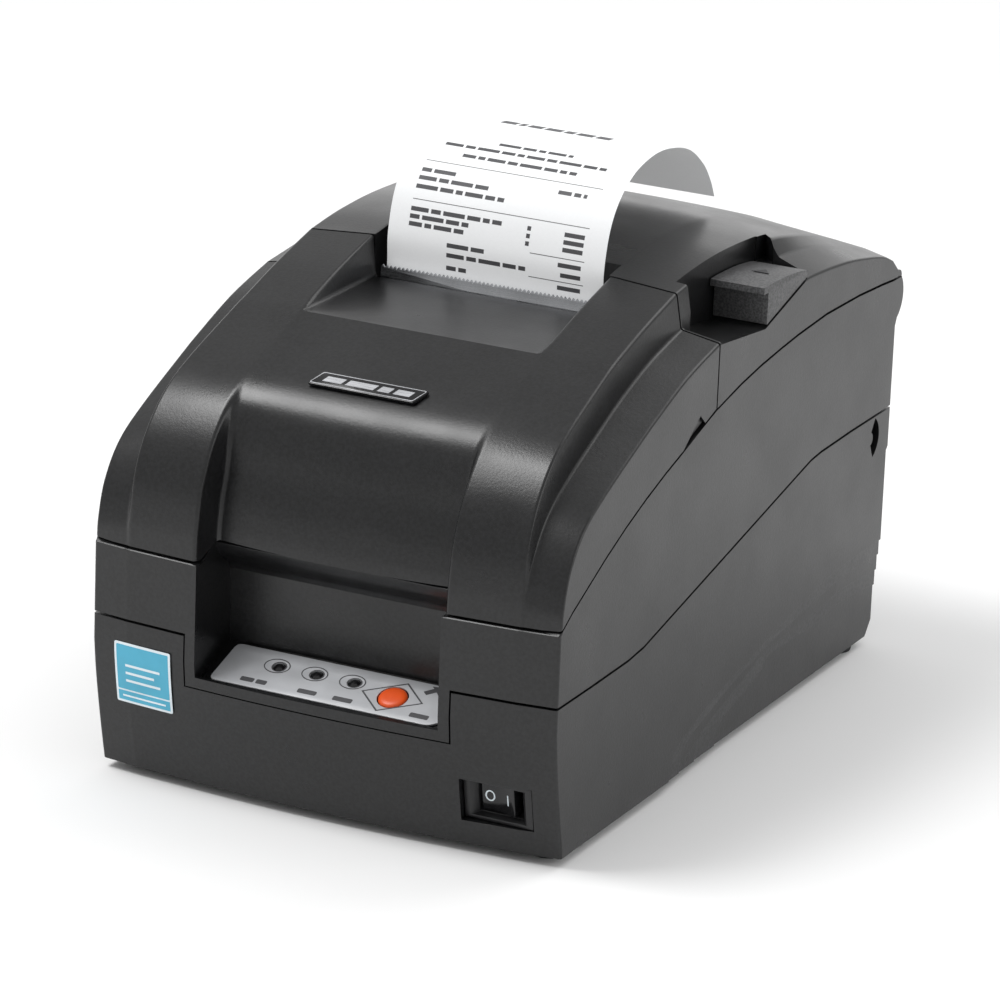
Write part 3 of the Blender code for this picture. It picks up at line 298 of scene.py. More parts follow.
# ---- The casing's outline, as the CAD has it -------------------------
HALF_WIDTH = 80.0
FRONT_DEPTH = 128.6
WALL = 2.5
SEAM_GAP = 0.4
FRONT_BOW = 5.0
LEAN_TOP = 45.0
LEAN_REACH = 7.6
LEAN_POWER = 1.3
CASE_BOTTOM = 3.0
REACH = 140.0
HIGH = 220.0
RECESS_HALF = 43.0
SCOOP_HALF = 40.2
EXIT_BACK = -9.5
REAR_HINGE = (124.2, 127.2)
REAR_BARREL = 2.4
PIN_BORE = 1.3
FRONT_HINGE = (-127.2, 76.4)
FINGER_NOTCH = ((-42.4, 100), (-42.4, 112.2), (-30.6, 120.6), (-26.2, 116.8), (-26.2, 100))
NOTCH_DEPTH = 1.1
CREST_BOX = ((-71, 138), (-58, 147))  # The scoop's crest lies in this part of the YZ plane
PILLAR_FRONT = ((-126.3, 77.3), (-125.7, 88), (-122.3, 103), (-113.4, 118), (-98.2, 129.8), (-64.7, 143),
                (-41, 150.4), (-18.9, 156.0))
RIDGE_FRONT = ((-124.6, 77.3), (-124.3, 87), (-121.6, 102.5), (-112.8, 117), (-98, 128.2), (-64.7, 141.3),
               (-41, 148.6), (-18.9, 154.2))
FOOT_FRONT = ((-124.2, 77.3), (-123.7, 85), (-120.4, 96.5), (-111.6, 108), (-96, 117.2), (-66.5, 129.2),
              (-42, 137.8), (-18.9, 143.0))
SHOULDER_FRONT = ((-122.9, 77.3), (-122.4, 84), (-119.0, 95), (-110.5, 105.6), (-95.5, 114), (-66.7, 126.4),
                  (-42, 135.3), (-18.9, 140.7))
DISH_DEPTH = 10.3  # How far the hollow between the pillars lies behind them, low down
DISH_BOW = 1.3  # How much less of that there is at X = 0
CREST_BOW = 0.06  # The scoop's edge bows forward by this share of the last interval
SCOOP_FLOOR = ((-41, 143), (-18.9, 143))
PILLAR_REAR = ((-18.4, 156.1), (0, 158.0), (24, 158.6), (53, 156.8), (79, 151.8), (99, 145.6), (111, 141.0),
               (118.5, 136.6))
RIDGE_REAR = ((-18.4, 154.3), (0, 156.2), (24, 156.8), (53, 155.0), (79, 150.0), (99, 144.0), (111, 139.7),
              (118.5, 135.7))
FOOT_REAR = ((-18.4, 143.0), (0, 145.0), (24, 147.6), (52, 150.2), (77, 147.6), (99, 142.5), (111, 139.0),
             (118.5, 135.2))
SHOULDER_REAR = ((-18.4, 140.8), (0, 142.4), (24, 144.6), (48, 145.6), (77, 143.4), (97, 140.3), (110, 137.4),
                 (117.8, 134.2))
CENTRE_CROWN = 2.4
CROWN_HALF = 64.5
CROWN_START = -18.4
CROWN_RISE, CROWN_FALL = 40, 60
RIDGE_X, RIDGE_SPLAY = 64.5, 2.7
FOOT_X, FOOT_SPLAY, FOOT_SPREAD = 66.5, 1.9, 5.5
PILLAR_ROUND = 1.2
FLANK_SHARE = 0.06
FLANK_MIDDLE = (10, 80)
LANE_RADII = (0, 0, 0, 0, 0, 1.4, 1.2, 1.0, 0.9, 0.9, 0)
BULGE_CENTRE = (118.8, 121.5)
BULGE_RADIUS = 9.2
BACK_AND_BOTTOM = ((122.5, 111), (122.5, 90), (122.5, 69.4), (121.3, 68), (121.3, 40), (121.3, 8), (117, 3))
FRONT_SEAM = ((-REACH, 77.3), (-123.6, 77.3), (-116, 82.0), (-107.4, 86.3), (-94.4, 92.8), (-81.2, 98.7),
              (-67.8, 103.9), (-54.2, 108.5), (-42.4, 112), (-30, 116), (-18.65, 119.4))
REAR_SEAM = ((-18.65, 119.4), (-0.7, 123.1), (14.2, 125.4), (29.3, 127.1), (42.3, 128.3), (64, 129.6),
             (90, 129.3), (109, 128.3), (118, 127.6), (REACH, 127.2))
BASE_SEAM = ((-REACH, 53.6), (-100, 53.8), (-75, 54.2), (-64, 55.3), (-54, 57.5), (52, 80.6), (58, 81.9),
             (66, 82.6), (90, 83.1), (REACH, 83.2))
JOIN_Y = -18.65
RECESS = ((-REACH, 40.4), (-125.2, 40.4), (-123.6, 38.6), (-104.6, 46.0), (-106.0, 70.0), (-107.2, 72.4),
          (-110, 74.6), (-113.2, 77), (-115.2, 79.6), (-116.6, 82.4), (-118, 87), (-118, 95), (-REACH, 95))
RECESS_LINER = ((-REACH, 36.9), (-124, 36.9), (-101.8, 44.6), (-103.2, 72), (-106.5, 79), (-111, 82),
                (-114, 86), (-114, 95), (-REACH, 95))
POCKET = ((-17.6, 140.2), (15.5, 136.8), (46.6, 145.4), (49.5, 147.2), (52, HIGH), (-17.6, HIGH))
POCKET_SIDE = ((-11, 139.4), (15.5, 136.8), (46.6, 145.4), (48.2, 147.2), (50, HIGH), (-11, HIGH))
POCKET_END = ((60.9, 45), (67.6, 45), (67.6, 48.4), (60.9, 55.1))
POCKET_LINER = ((-30, 139.4), (-17.6, 137.7), (15.8, 134.2), (48, 142.8), (56, 146.4), (59, HIGH),
                (-30, HIGH))
FRONT_HEIGHTS = (3.0, 5.0, 8.0, 12.0, 17.0, 23.0, 30.0, 37.0, 45.0, 53.6, 60.0, 68.0, 76.6)
PANEL_ORIGIN = (-123.6, 38.6)
PANEL_SLOPE = math.atan2(7.4, 19.0)
LAMPS = ((-20.3, 12.2), (-7.2, 12.2), (5.9, 12.2))
LAMP_HOLE = 2.1
BUTTON = (20.4, 9.6)
BUTTON_HOLE = 5.0
SWITCH_X = (48.2, 71.8)
SWITCH_Z = (11.2, 25.8)
SWITCH_TILT = math.radians(11.0)
SWITCH_FACE = -120.2
ROCKER_MIDDLE = (59.8, -112.0)


def ramp(value, start, run):
    """0 before the start, 1 after the run, even between."""
    return min(1.0, max(0.0, (value - start) / run))


def front_y(x, z):
    lean = max(0.0, (LEAN_TOP - z) / (LEAN_TOP - CASE_BOTTOM))
    return -FRONT_DEPTH + FRONT_BOW * (x / HALF_WIDTH) ** 2 + LEAN_REACH * lean ** LEAN_POWER


def front_path(front, samples):
    """Up the front and over the front cover, with a sharp bend between the two."""
    return smooth_path(front[:6], samples)[:-1] + smooth_path(front[5:], samples)


def centre_path(x, samples):
    """The hollow between the pillars: level with them above, dished below, with the scoop's edge bowed."""
    middle = 1 - (x / RECESS_HALF) ** 2
    fine = 24
    pillar = smooth_path(PILLAR_FRONT[:6], fine)
    points = []
    for step in range(5 * samples + 1):
        place = step / samples
        if place > 4:
            place = 4 + (place - 4) * (1 - CREST_BOW * middle)
        spot = min(round(place * fine), len(pillar) - 2)
        along = (Vector(pillar[spot + 1]) - Vector(pillar[spot])).normalized()
        share = ramp(place, 2, 2)
        depth = (DISH_DEPTH - DISH_BOW * middle) * (1 - share * share * (3 - 2 * share))
        points.append((pillar[spot][0] + along.y * depth, pillar[spot][1] - along.x * depth))
    crest = points.pop()
    return points + smooth_path((crest, *SCOOP_FLOOR), samples)


def crown_at(x, y):
    """How far the top stands above the pillars' line."""
    rise = ramp(y, CROWN_START, CROWN_RISE)
    height = CENTRE_CROWN * rise * rise * (3 - 2 * rise) * min(1.0, (REACH - y) / CROWN_FALL)
    return height * max(0.0, 1 - (x / CROWN_HALF) ** 2)


def lane_outline(x, front, rear, crowned=False, fine=True):
    """The closed YZ outline at one x: up the front, over both covers, down the back."""
    points = [(front_y(x, z), z) for z in (FRONT_HEIGHTS if fine else FRONT_HEIGHTS[::3])]
    points += front
    points += [(y, z + crown_at(x, y) if crowned else z) for y, z in smooth_path(rear, 6 if fine else 2)]
    points += arc(BULGE_CENTRE, BULGE_RADIUS, 60, -58, 12 if fine else 6)
    points += BACK_AND_BOTTOM
    return points


def lane_x(start, scoop, y):
    """Where the hollow's edge runs: wide low at the front, as narrow as the scoop above."""
    return start + (scoop - start) * ramp(y, -98, 33)


def ridge_x(y):
    return RIDGE_X + RIDGE_SPLAY * ramp(y, -60, -60)


def foot_x(y):
    return FOOT_X + FOOT_SPLAY * ramp(y, -60, -60) + FOOT_SPREAD * ramp(y, 20, 90)


def loft_across(lanes):
    solid = bmesh.new()
    rings = [[solid.verts.new(point) for point in lane] for lane in lanes]
    count = len(rings[0])
    for left, right in zip(rings, rings[1:]):
        for i in range(count):
            j = (i + 1) % count
            solid.faces.new((left[i], left[j], right[j], right[i]))
    solid.faces.new(rings[0])
    solid.faces.new(rings[-1][::-1])
    return outward(solid)


def case_lanes(middle_xs, samples, fine, offset):
    """Lanes in x, y, z from the middle to one side, moved inwards by the offset."""
    edge_x = RECESS_HALF - 2
    plan = [(x, lambda y, x=x: x, centre_path(x, samples), PILLAR_REAR, True) for x in middle_xs]
    plan += [
        (edge_x, lambda y: lane_x(edge_x, SCOOP_HALF, y) + offset, centre_path(edge_x, samples),
         PILLAR_REAR, True),
        (RECESS_HALF, lambda y: lane_x(RECESS_HALF, SCOOP_HALF + PILLAR_ROUND, y) + offset,
         front_path(PILLAR_FRONT, samples), PILLAR_REAR, True),
        (RIDGE_X, lambda y: ridge_x(y) - offset, front_path(RIDGE_FRONT, samples), RIDGE_REAR, False),
        (foot_x(0), lambda y: foot_x(y) - offset, front_path(FOOT_FRONT, samples), FOOT_REAR, False),
        (HALF_WIDTH, lambda y: HALF_WIDTH - offset, front_path(SHOULDER_FRONT, samples),
         SHOULDER_REAR, False),
    ]
    lanes = []
    for x, lane_place, front, rear, crowned in plan:
        outline = lane_outline(x, front, rear, crowned, fine)
        if offset:
            outline = inset(outline, offset)
        lanes.append([(lane_place(y), y, z) for y, z in outline])
    return lanes


def both_sides(lanes):
    """A solid from the lanes of one side and their mirror images."""
    mirrored = [[(-x, y, z) for x, y, z in lane] for lane in lanes[:0:-1]]
    return loft_across(mirrored + lanes)


def outer_solid():
    """The whole outside, with every long edge rounded."""
    lanes = case_lanes((0, 8, 16, 24, 32), 6, True, 0.0)
    middle_y, middle_z = FLANK_MIDDLE
    lanes.append([(x, y + (middle_y - y) * FLANK_SHARE, z + (middle_z - z) * FLANK_SHARE)
                  for x, y, z in lanes[-1]])
    rows = [rounded([lane[i] for lane in lanes], LANE_RADII) for i in range(len(lanes[0]))]
    return both_sides([[tuple(row[k]) for row in rows] for k in range(len(rows[0]))])


def inner_solid():
    """The room inside, one wall's thickness from the outside."""
    return both_sides(case_lanes((0.0, 20.0), 3, False, WALL))


def region(low_edge, high_edge):
    return plate("YZ", list(low_edge) + list(high_edge)[::-1], -REACH, REACH)


def below(seam):
    return [(y, z - SEAM_GAP) for y, z in seam]


def above(seam):
    return [(y, z + SEAM_GAP) for y, z in seam]


# ---- Finish a piece --------------------------------------------------
MERGE_DISTANCE = 0.08 * SCALE
BEVEL_ANGLE = math.radians(32)
SHARP_ANGLE = math.radians(38)


def clean(target):
    """Merge points that lie closer together than any real edge is long."""
    work = bmesh.new()
    work.from_mesh(target.data)
    bmesh.ops.remove_doubles(work, verts=work.verts, dist=MERGE_DISTANCE)
    bmesh.ops.dissolve_degenerate(work, edges=work.edges, dist=MERGE_DISTANCE)
    work.to_mesh(target.data)
    work.free()


def keep_planes_flat(target):
    """Weight the normals by face area, so that large flat faces stay flat beside rounded edges."""
    step = target.modifiers.new("normals", "WEIGHTED_NORMAL")
    step.keep_sharp = True
    step.weight = 60
    apply_modifiers(target)


def finish_piece(target, body, material, nodes=(), bevel=0.0, segments=2, smooth=True,
                 crisp=False):
    """Round the sharp edges, shade, paint, and hand the piece to its body."""
    target.data.materials.clear()
    target.data.materials.append(material)
    if bevel:
        step = target.modifiers.new("bevel", "BEVEL")
        step.width = bevel * SCALE
        step.segments = segments
        step.limit_method = "ANGLE"
        step.angle_limit = BEVEL_ANGLE
        apply_modifiers(target)
    if smooth:
        target.data.shade_smooth()
        target.data.set_sharp_from_angle(angle=SHARP_ANGLE)
    if crisp:
        keep_planes_flat(target)
    if nodes:
        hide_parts(*nodes)
    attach(target, body)
    return target


def crease(target, low, high, angle=0.2):
    """Shade as sharp the edges across the width, inside a box in y and z, where the faces bend."""
    solid = bmesh.new()
    solid.from_mesh(target.data)
    for edge in solid.edges:
        ends = [vert.co / SCALE for vert in edge.verts]
        inside = all(low[0] < end.y < high[0] and low[1] < end.z < high[1] for end in ends)
        run = ends[0] - ends[1]
        crosses = abs(run.x) > abs(run.y)
        if inside and crosses and len(edge.link_faces) == 2 and edge.calc_face_angle() > angle:
            edge.smooth = False
    solid.to_mesh(target.data)
    solid.free()


# ---- Materials -------------------------------------------------------
class Paint:
    """A Principled material with small helpers for its procedural layers. Sizes are in millimetres."""

    def __init__(self, name, colour, roughness=0.5, metallic=0.0, specular=0.5, coat=0.0):
        self.material = bpy.data.materials.new(name)
        self.material.use_nodes = True
        self.tree = self.material.node_tree
        self.sockets = self.tree.nodes["Principled BSDF"].inputs
        values = {"Base Color": (*colour, 1.0), "Roughness": roughness, "Metallic": metallic,
                  "Specular IOR Level": specular, "Coat Weight": coat, "Coat Roughness": 0.1}
        for socket, value in values.items():
            self.sockets[socket].default_value = value
        self.colour = colour
        self.place = self.node("TexCoord").outputs["Object"]

    def node(self, kind, **values):
        node = self.tree.nodes.new("ShaderNode" + kind)
        for socket, value in values.items():
            node.inputs[socket.replace("_", " ")].default_value = value
        return node

    def link(self, source, target):
        self.tree.links.new(source, target)

    def noise(self, size, detail=2.0, roughness=0.5, stretch=None):
        noise = self.node("TexNoise", Scale=1000.0 / size, Detail=detail, Roughness=roughness)
        place = self.place
        if stretch:
            mapping = self.node("Mapping", Scale=stretch)
            self.link(place, mapping.inputs["Vector"])
            place = mapping.outputs["Vector"]
        self.link(place, noise.inputs["Vector"])
        return noise.outputs["Fac"]

    def cells(self, size):
        cells = self.node("TexVoronoi", Scale=1000.0 / size)
        self.link(self.place, cells.inputs["Vector"])
        return cells.outputs["Distance"]

    def shades(self, source, low, high, start=0.3, end=0.7):
        """The base colour between two multiples of itself."""
        tones = self.node("ValToRGB")
        for element, position, share in zip(tones.color_ramp.elements, (start, end), (low, high)):
            element.position = position
            element.color = (*(min(1.0, channel * share) for channel in self.colour), 1.0)
        self.link(source, tones.inputs["Fac"])
        self.link(tones.outputs["Color"], self.sockets["Base Color"])

    def rough(self, source, low, high):
        span = self.node("MapRange", From_Min=0.3, From_Max=0.7, To_Min=low, To_Max=high)
        self.link(source, span.inputs["Value"])
        self.link(span.outputs["Result"], self.sockets["Roughness"])

    def bump(self, source, strength, depth):
        bump = self.node("Bump", Strength=strength, Distance=depth * SCALE)
        self.link(source, bump.inputs["Height"])
        if self.sockets["Normal"].links:
            self.link(self.sockets["Normal"].links[0].from_socket, bump.inputs["Normal"])
        self.link(bump.outputs["Normal"], self.sockets["Normal"])


def grained_plastic(name, colour, roughness=0.42, grain=0.42, depth=0.05):
    paint = Paint(name, colour, roughness)
    paint.shades(paint.noise(grain * 1.3, 2.0), 0.6, 1.5, 0.35, 0.65)
    paint.rough(paint.noise(22.0, 3.0), roughness - 0.03, roughness + 0.05)
    paint.bump(paint.noise(30.0, 1.0), 0.06, 0.5)
    paint.bump(paint.noise(grain, 3.0, 0.65), 0.6, depth)
    return paint.material


def satin_plastic(name, colour, roughness=0.35):
    paint = Paint(name, colour, roughness)
    paint.rough(paint.noise(6.0, 3.0), roughness - 0.05, roughness + 0.06)
    paint.shades(paint.noise(9.0, 2.0), 0.94, 1.06)
    paint.bump(paint.noise(0.5, 2.0), 0.12, 0.03)
    return paint.material


def brushed_metal(name, colour, roughness=0.3, along=(0.04, 1.0, 1.0)):
    paint = Paint(name, colour, roughness, 1.0)
    grain = paint.noise(0.35, 2.0, 0.6, along)
    paint.rough(grain, roughness - 0.07, roughness + 0.1)
    paint.shades(paint.noise(14.0, 3.0), 0.86, 1.08)
    paint.bump(grain, 0.12, 0.03)
    return paint.material


def zinc_plate(name, colour=(0.55, 0.57, 0.6)):
    paint = Paint(name, colour, 0.34, 1.0)
    paint.shades(paint.cells(3.0), 0.93, 1.03, 0.1, 0.7)
    paint.rough(paint.noise(3.0, 3.0), 0.26, 0.44)
    paint.bump(paint.noise(1.2, 3.0), 0.08, 0.05)
    return paint.material


def soft_rubber(name, colour=(0.02, 0.02, 0.021)):
    paint = Paint(name, colour, 0.75, specular=0.3)
    paint.shades(paint.noise(2.5, 3.0), 0.8, 1.35)
    paint.rough(paint.noise(1.0, 2.0), 0.65, 0.85)
    paint.bump(paint.noise(0.4, 2.0), 0.3, 0.04)
    return paint.material


def glowing_paper_white(name, colour=(0.7, 0.71, 0.72)):
    paint = Paint(name, colour, 0.6, specular=0.35)
    # Painted light: the paper glows faintly white, so that it stays bright whatever light falls on it.
    paint.sockets["Emission Color"].default_value = (1, 1, 1, 1)
    paint.sockets["Emission Strength"].default_value = 0.2
    paint.shades(paint.noise(0.8, 4.0, 0.6), 0.985, 1.015)
    paint.bump(paint.noise(0.5, 4.0, 0.6), 0.08, 0.04)
    paint.rough(paint.noise(3.0, 2.0), 0.5, 0.62)
    return paint.material


def wound_paper(name, colour, pitch=0.9):
    paint = Paint(name, colour, 0.8, specular=0.2)
    paint.shades(paint.noise(pitch, 2.0, 0.5, (0.02, 1.0, 1.0)), 0.86, 1.05)
    paint.bump(paint.noise(0.5, 3.0), 0.2, 0.05)
    return paint.material


def board_green(name):
    paint = Paint(name, (0.012, 0.1, 0.04), 0.35, coat=0.3)
    tracks = paint.node("TexBrick", Scale=60.0, Mortar_Size=0.03, Color1=(0.012, 0.1, 0.04, 1.0),
                        Color2=(0.014, 0.12, 0.045, 1.0), Mortar=(0.03, 0.2, 0.08, 1.0))
    paint.link(paint.place, tracks.inputs["Vector"])
    paint.link(tracks.outputs["Color"], paint.sockets["Base Color"])
    paint.bump(tracks.outputs["Fac"], 0.2, 0.05)
    return paint.material


CHARCOAL = (0.006, 0.0061, 0.0066)
case_plastic = grained_plastic("charcoal_abs", CHARCOAL, 0.3, 0.9, 0.065)
# The fan's plastic is a lighter charcoal: painted light, so that every other step of the fan looks lit.
fan_lit_plastic = grained_plastic("fan_abs_painted_light", (0.022, 0.0222, 0.023), 0.36, 0.9, 0.06)
# The lever's plastic is lighter than the case: painted light, so that its sloping top looks as lit as it
# should.
lever_lit_plastic = grained_plastic("lever_abs_painted_light", (0.065, 0.0652, 0.067), 0.5, 0.5, 0.04)
black_gloss = satin_plastic("black_gloss", (0.008, 0.008, 0.009), 0.16)
black_satin = satin_plastic("black_satin", (0.012, 0.012, 0.013), 0.42)
ink_black = satin_plastic("ink_black", (0.012, 0.012, 0.014), 0.5)
label_film = satin_plastic("label_film", (0.52, 0.53, 0.55), 0.33)
button_orange = satin_plastic("button_orange", (0.86, 0.10, 0.012), 0.38)
badge_silver = brushed_metal("badge_silver", (0.72, 0.73, 0.76), 0.28)
blue_film = satin_plastic("blue_film", (0.075, 0.42, 0.60), 0.4)
pale_film = satin_plastic("pale_film", (0.78, 0.86, 0.9), 0.4)
glowing_paper_face = glowing_paper_white("receipt_paper")
print_ink = satin_plastic("print_ink", (0.07, 0.07, 0.075), 0.6)
bright_steel = brushed_metal("bright_steel", (0.5, 0.51, 0.53), 0.28)
ground_steel = brushed_metal("ground_steel", (0.6, 0.61, 0.63), 0.16, (1.0, 0.05, 0.05))
zinc = zinc_plate("zinc_steel")
rubber = soft_rubber("rubber")

# The CAD's own meshes that stay, by material.
CAD_PAINTS = (
    (black_gloss, "lamp_light_guide"),
    (black_satin, "feed_key_switch head_carriage processor_chip drawer_port power_inlet"),
    (bright_steel, "chassis_screw_left chassis_screw_right platen platen_bracket hinge_pin_left"
                   " hinge_pin_right interface_port"),
    (ground_steel, "carriage_shaft"),
    (zinc, "mech_chassis carriage_rail carriage_motor feed_motor paper_guide latch_shaft rear_panel"),
    (rubber, "drive_belt feed_roller pinch_roller foot_front_left foot_front_right foot_rear_left"
             " foot_rear_right"),
    (glowing_paper_face, "paper_web"),
    (case_plastic, "roll_bucket"),
    (board_green("circuit_board"), "panel_board main_board"),
    (zinc_plate("cast_alloy", (0.42, 0.43, 0.45)), "print_head"),
    (brushed_metal("brass", (0.6, 0.42, 0.15)), "drive_pulley idler_pulley"),
    (brushed_metal("sink_aluminium", (0.55, 0.56, 0.58), 0.35), "heat_sink"),
    (grained_plastic("cartridge", (0.014, 0.014, 0.015), 0.5), "ribbon_cartridge"),
    (satin_plastic("nylon", (0.72, 0.7, 0.64), 0.45),
     "feed_roller_gear feed_idler_small feed_idler_large feed_pinion"),
    (satin_plastic("knob_blue", (0.04, 0.1, 0.28), 0.4), "ribbon_knob"),
    (satin_plastic("grey_plastic", (0.3, 0.3, 0.31), 0.45), "near_end_lever"),
    (satin_plastic("can_blue", (0.02, 0.04, 0.16), 0.25), "smoothing_capacitor"),
    (wound_paper("inked_ribbon", (0.03, 0.02, 0.05), 0.5), "ribbon_strip"),
    (wound_paper("roll_paper", (0.8, 0.81, 0.82)), "paper_roll"),
    (wound_paper("core_card", (0.45, 0.33, 0.2)), "roll_core"),
)
for material, nodes in CAD_PAINTS:
    for node in nodes.split():
        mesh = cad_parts[node].data
        mesh.materials.clear()
        mesh.materials.append(material)


# ---- Casing ----------------------------------------------------------
def on_panel(solid):
    return moved(solid, Matrix.Translation((0, *PANEL_ORIGIN)) @ Matrix.Rotation(PANEL_SLOPE, 4, "X"))


def switch_tilted(solid):
    pivot = Vector((0, SWITCH_FACE, sum(SWITCH_Z) / 2))
    tilt = Matrix.Rotation(SWITCH_TILT, 4, "X")
    return moved(solid, Matrix.Translation(pivot) @ tilt @ Matrix.Translation(-pivot))


def smooth_recess():
    """The recess above the panel, with its overhanging lip as a smooth curve."""
    lip = smooth_path(RECESS[4:11], 5)
    return list(RECESS[:4]) + lip + list(RECESS[11:])


def beyond(plane, outline, side, distance):
    """A plate from a distance outwards, on one side of the middle."""
    return plate(plane, outline, *sorted((side * distance, side * REACH)))


def rectangle(left, low, right, high):
    return ((left, low), (right, low), (right, high), (left, high))


outside = to_object("outside", outer_solid())
inside = to_object("inside", inner_solid())


def hollow(*liners):
    room = linked("room", inside.data.copy())
    return cut(room, *liners) if liners else room


def case_piece(name, zone, room):
    piece = linked(name, outside.data.copy())
    combine(piece, "INTERSECT", zone)
    cut(piece, room)
    bpy.data.objects.remove(room)
    return piece


FAN_START, FAN_STEP = 0.3, 0.45
FAN_TOP = 42 * SCALE
FAN_END = 36.5
FAN_LEVELS = ((-41, 0, FAN_END), (-32, -2.5, 30.5), (-20, -4.5, 24.5), (-4, -7.0, 18.5))
# The fan levels that get the lighter colour: painted light on the steps.
FAN_LIT_LEVELS = (1, 3)
SIDE_SLOT = band(arc((106.2, 75.7), 4.9, -68, 62, 16), 5.0)
CASE_BEVEL = 0.35


def finish_case(case, body, node):
    clean(case)
    finish_piece(case, body, case_plastic, (node,), CASE_BEVEL, crisp=True)


def fan_outlines():
    """The stepped swoosh low on each side, one outline inside the other: start, drop and end height."""
    outlines = []
    for start, drop, end in FAN_LEVELS:
        fall = end - FAN_END
        top = smooth_path([(start, -6), (start + 0.6, 6 + drop * 0.2), (start + 5, 13 + drop * 0.4),
                           (start + 33, 21.5 + drop * 0.6), (30 - drop, 28.5 + drop),
                           (70, 35 + drop + fall * 0.4), (95, 36.8 + fall * 0.8), (REACH, end)], 7)
        outlines.append(top + [(REACH, -6)])
    return outlines


def paint_fan_light(case):
    """Give every other level of the fan a lighter colour, painted light that stands in for how the steps
    catch the light.
    """
    case.data.materials.append(fan_lit_plastic)
    for face in case.data.polygons:
        depth = HALF_WIDTH - abs(face.center.x) / SCALE
        level = round((depth - FAN_START) / FAN_STEP)
        if abs(face.normal.x) > 0.97 and face.center.z < FAN_TOP and level in FAN_LIT_LEVELS:
            face.material_index = 1


def make_lower_case():
    case = case_piece("lower_shell", region(((-REACH, -10), (REACH, -10)), below(BASE_SEAM)), hollow())
    cut(case, block((-46.1, -REACH, 36.5), (46.1, -98, 60)),
        switch_tilted(block((SWITCH_X[0], -REACH, SWITCH_Z[0]), (SWITCH_X[1], -102, SWITCH_Z[1]))),
        plate("YZ", SIDE_SLOT, 74, REACH),
        block((-60, 110, 16), (60, REACH, 60)))
    for side in (-1, 1):
        for step, outline in enumerate(fan_outlines()):
            cut(case, beyond("YZ", outline, side, HALF_WIDTH - (FAN_START + FAN_STEP * (step + 1))))
    finish_case(case, "base", "lower_case")
    paint_fan_light(case)


def make_middle_case():
    liner = plate("YZ", RECESS_LINER, -RECESS_HALF - WALL, RECESS_HALF + WALL)
    zone = to_object("zone", region(above(BASE_SEAM), below(FRONT_SEAM) + below(REAR_SEAM)[1:]))
    add(zone, block((-45.6, -REACH, 36.9), (45.6, -98.5, 60)))
    case = case_piece("middle_shell", zone, hollow(liner))
    bpy.data.objects.remove(zone)
    cut(case, plate("YZ", smooth_recess(), -RECESS_HALF + 1, RECESS_HALF - 1))
    stems = [on_panel(rod((*spot, -6), (*spot, 6), LAMP_HOLE)) for spot in LAMPS]
    cut(case, on_panel(rod((*BUTTON, -6), (*BUTTON, 6), BUTTON_HOLE)), *stems)
    cut(case, rod_x(REAR_HINGE, -70.5, 70.5, REAR_BARREL + 0.4))
    add(case, *[rod_x(REAR_HINGE, x, x + 8.6, REAR_BARREL) for x in (-79.4, 70.8)])
    cut(case, *[rod_x(REAR_HINGE, x, x + 12, PIN_BORE, 16) for x in (-78.2, 66.2)])
    finish_case(case, "base", "middle_case")


def make_front_cover():
    seam = above(FRONT_SEAM)
    seam[-1] = (JOIN_Y - SEAM_GAP, seam[-1][1])
    cover = case_piece("front_shell", region(seam, ((-REACH, HIGH), (JOIN_Y - SEAM_GAP, HIGH))), hollow())
    cut(cover, block((-SCOOP_HALF + 0.6, -20.2, 130), (SCOOP_HALF - 0.6, -10, 150)))
    for side in (-1, 1):
        cut(cover, beyond("YZ", FINGER_NOTCH, side, HALF_WIDTH - NOTCH_DEPTH))
    sector = arc(FRONT_HINGE, 10.5, -60, 72, 20) + arc(FRONT_HINGE, 8.0, 72, -60, 20)
    add(cover, *[plate("YZ", sector, *sorted((side * 51, side * 54))) for side in (-1, 1)])
    finish_case(cover, "front_cover", "front_cover")
    crease(cover, *CREST_BOX)


def make_rear_cover():
    seam = above(REAR_SEAM)
    seam[0] = (JOIN_Y + SEAM_GAP, seam[0][1])
    liners = (plate("YZ", POCKET_LINER, 58.0, REACH), block((-43.5, -30, 137), (43.5, EXIT_BACK + WALL, 170)))
    zone = region(seam, ((JOIN_Y + SEAM_GAP, HIGH), (REACH, HIGH)))
    cover = case_piece("rear_shell", zone, hollow(*liners))
    cut(cover, plate("YZ", POCKET, 66.0, REACH))
    cut(cover, plate("YZ", POCKET_SIDE, 60.5, 70))
    cut(cover, plate("XY", POCKET_END, 148, HIGH + 2))
    cut(cover, block((-41, -30, 120), (41, EXIT_BACK, 170)))
    cut(cover, *[rod_x(REAR_HINGE, x, x + 11, REAR_BARREL + 0.6) for x in (-81.4, 70.4)])
    add(cover, rod_x(REAR_HINGE, -70.1, 70.1, REAR_BARREL))
    cut(cover, *[rod_x(REAR_HINGE, x, x + 12.5, PIN_BORE, 16) for x in (-70.7, 58.2)])
    finish_case(cover, "rear_cover", "rear_cover")


make_lower_case()
make_middle_case()
make_front_cover()
make_rear_cover()
for helper in (outside, inside):
    bpy.data.objects.remove(helper)


# ---- Operator's panel ------------------------------------------------
LABEL_BOTTOM, LABEL_TOP = 0.3, 0.9
INK = 0.08
LABEL_OUTLINE = ((-39.2, 0.9), (36.8, 0.9), (41, 4.6), (41, 18.8), (-38.4, 18.8))
BUTTON_PROFILE = ((0, 1.6), (2.4, 1.56), (3.6, 1.42), (4.2, 1.15), (4.5, 0.8), (4.6, 0.4), (4.6, -1.9),
                  (0, -1.9))
WORD_BARS = ((-29.5, 4.6), (-24.1, 3.6), (-9.6, 6.4), (2.6, 6.6), (29.0, 6.4))
WORD_LOW, WORD_HIGH = 3.0, 4.9


def slab(outline, low, high, holes=()):
    return plate("XY", outline, low, high, holes)


def film(outline, holes=()):
    """A printed mark on the panel's label."""
    return slab(outline, LABEL_TOP, LABEL_TOP + INK, holes)


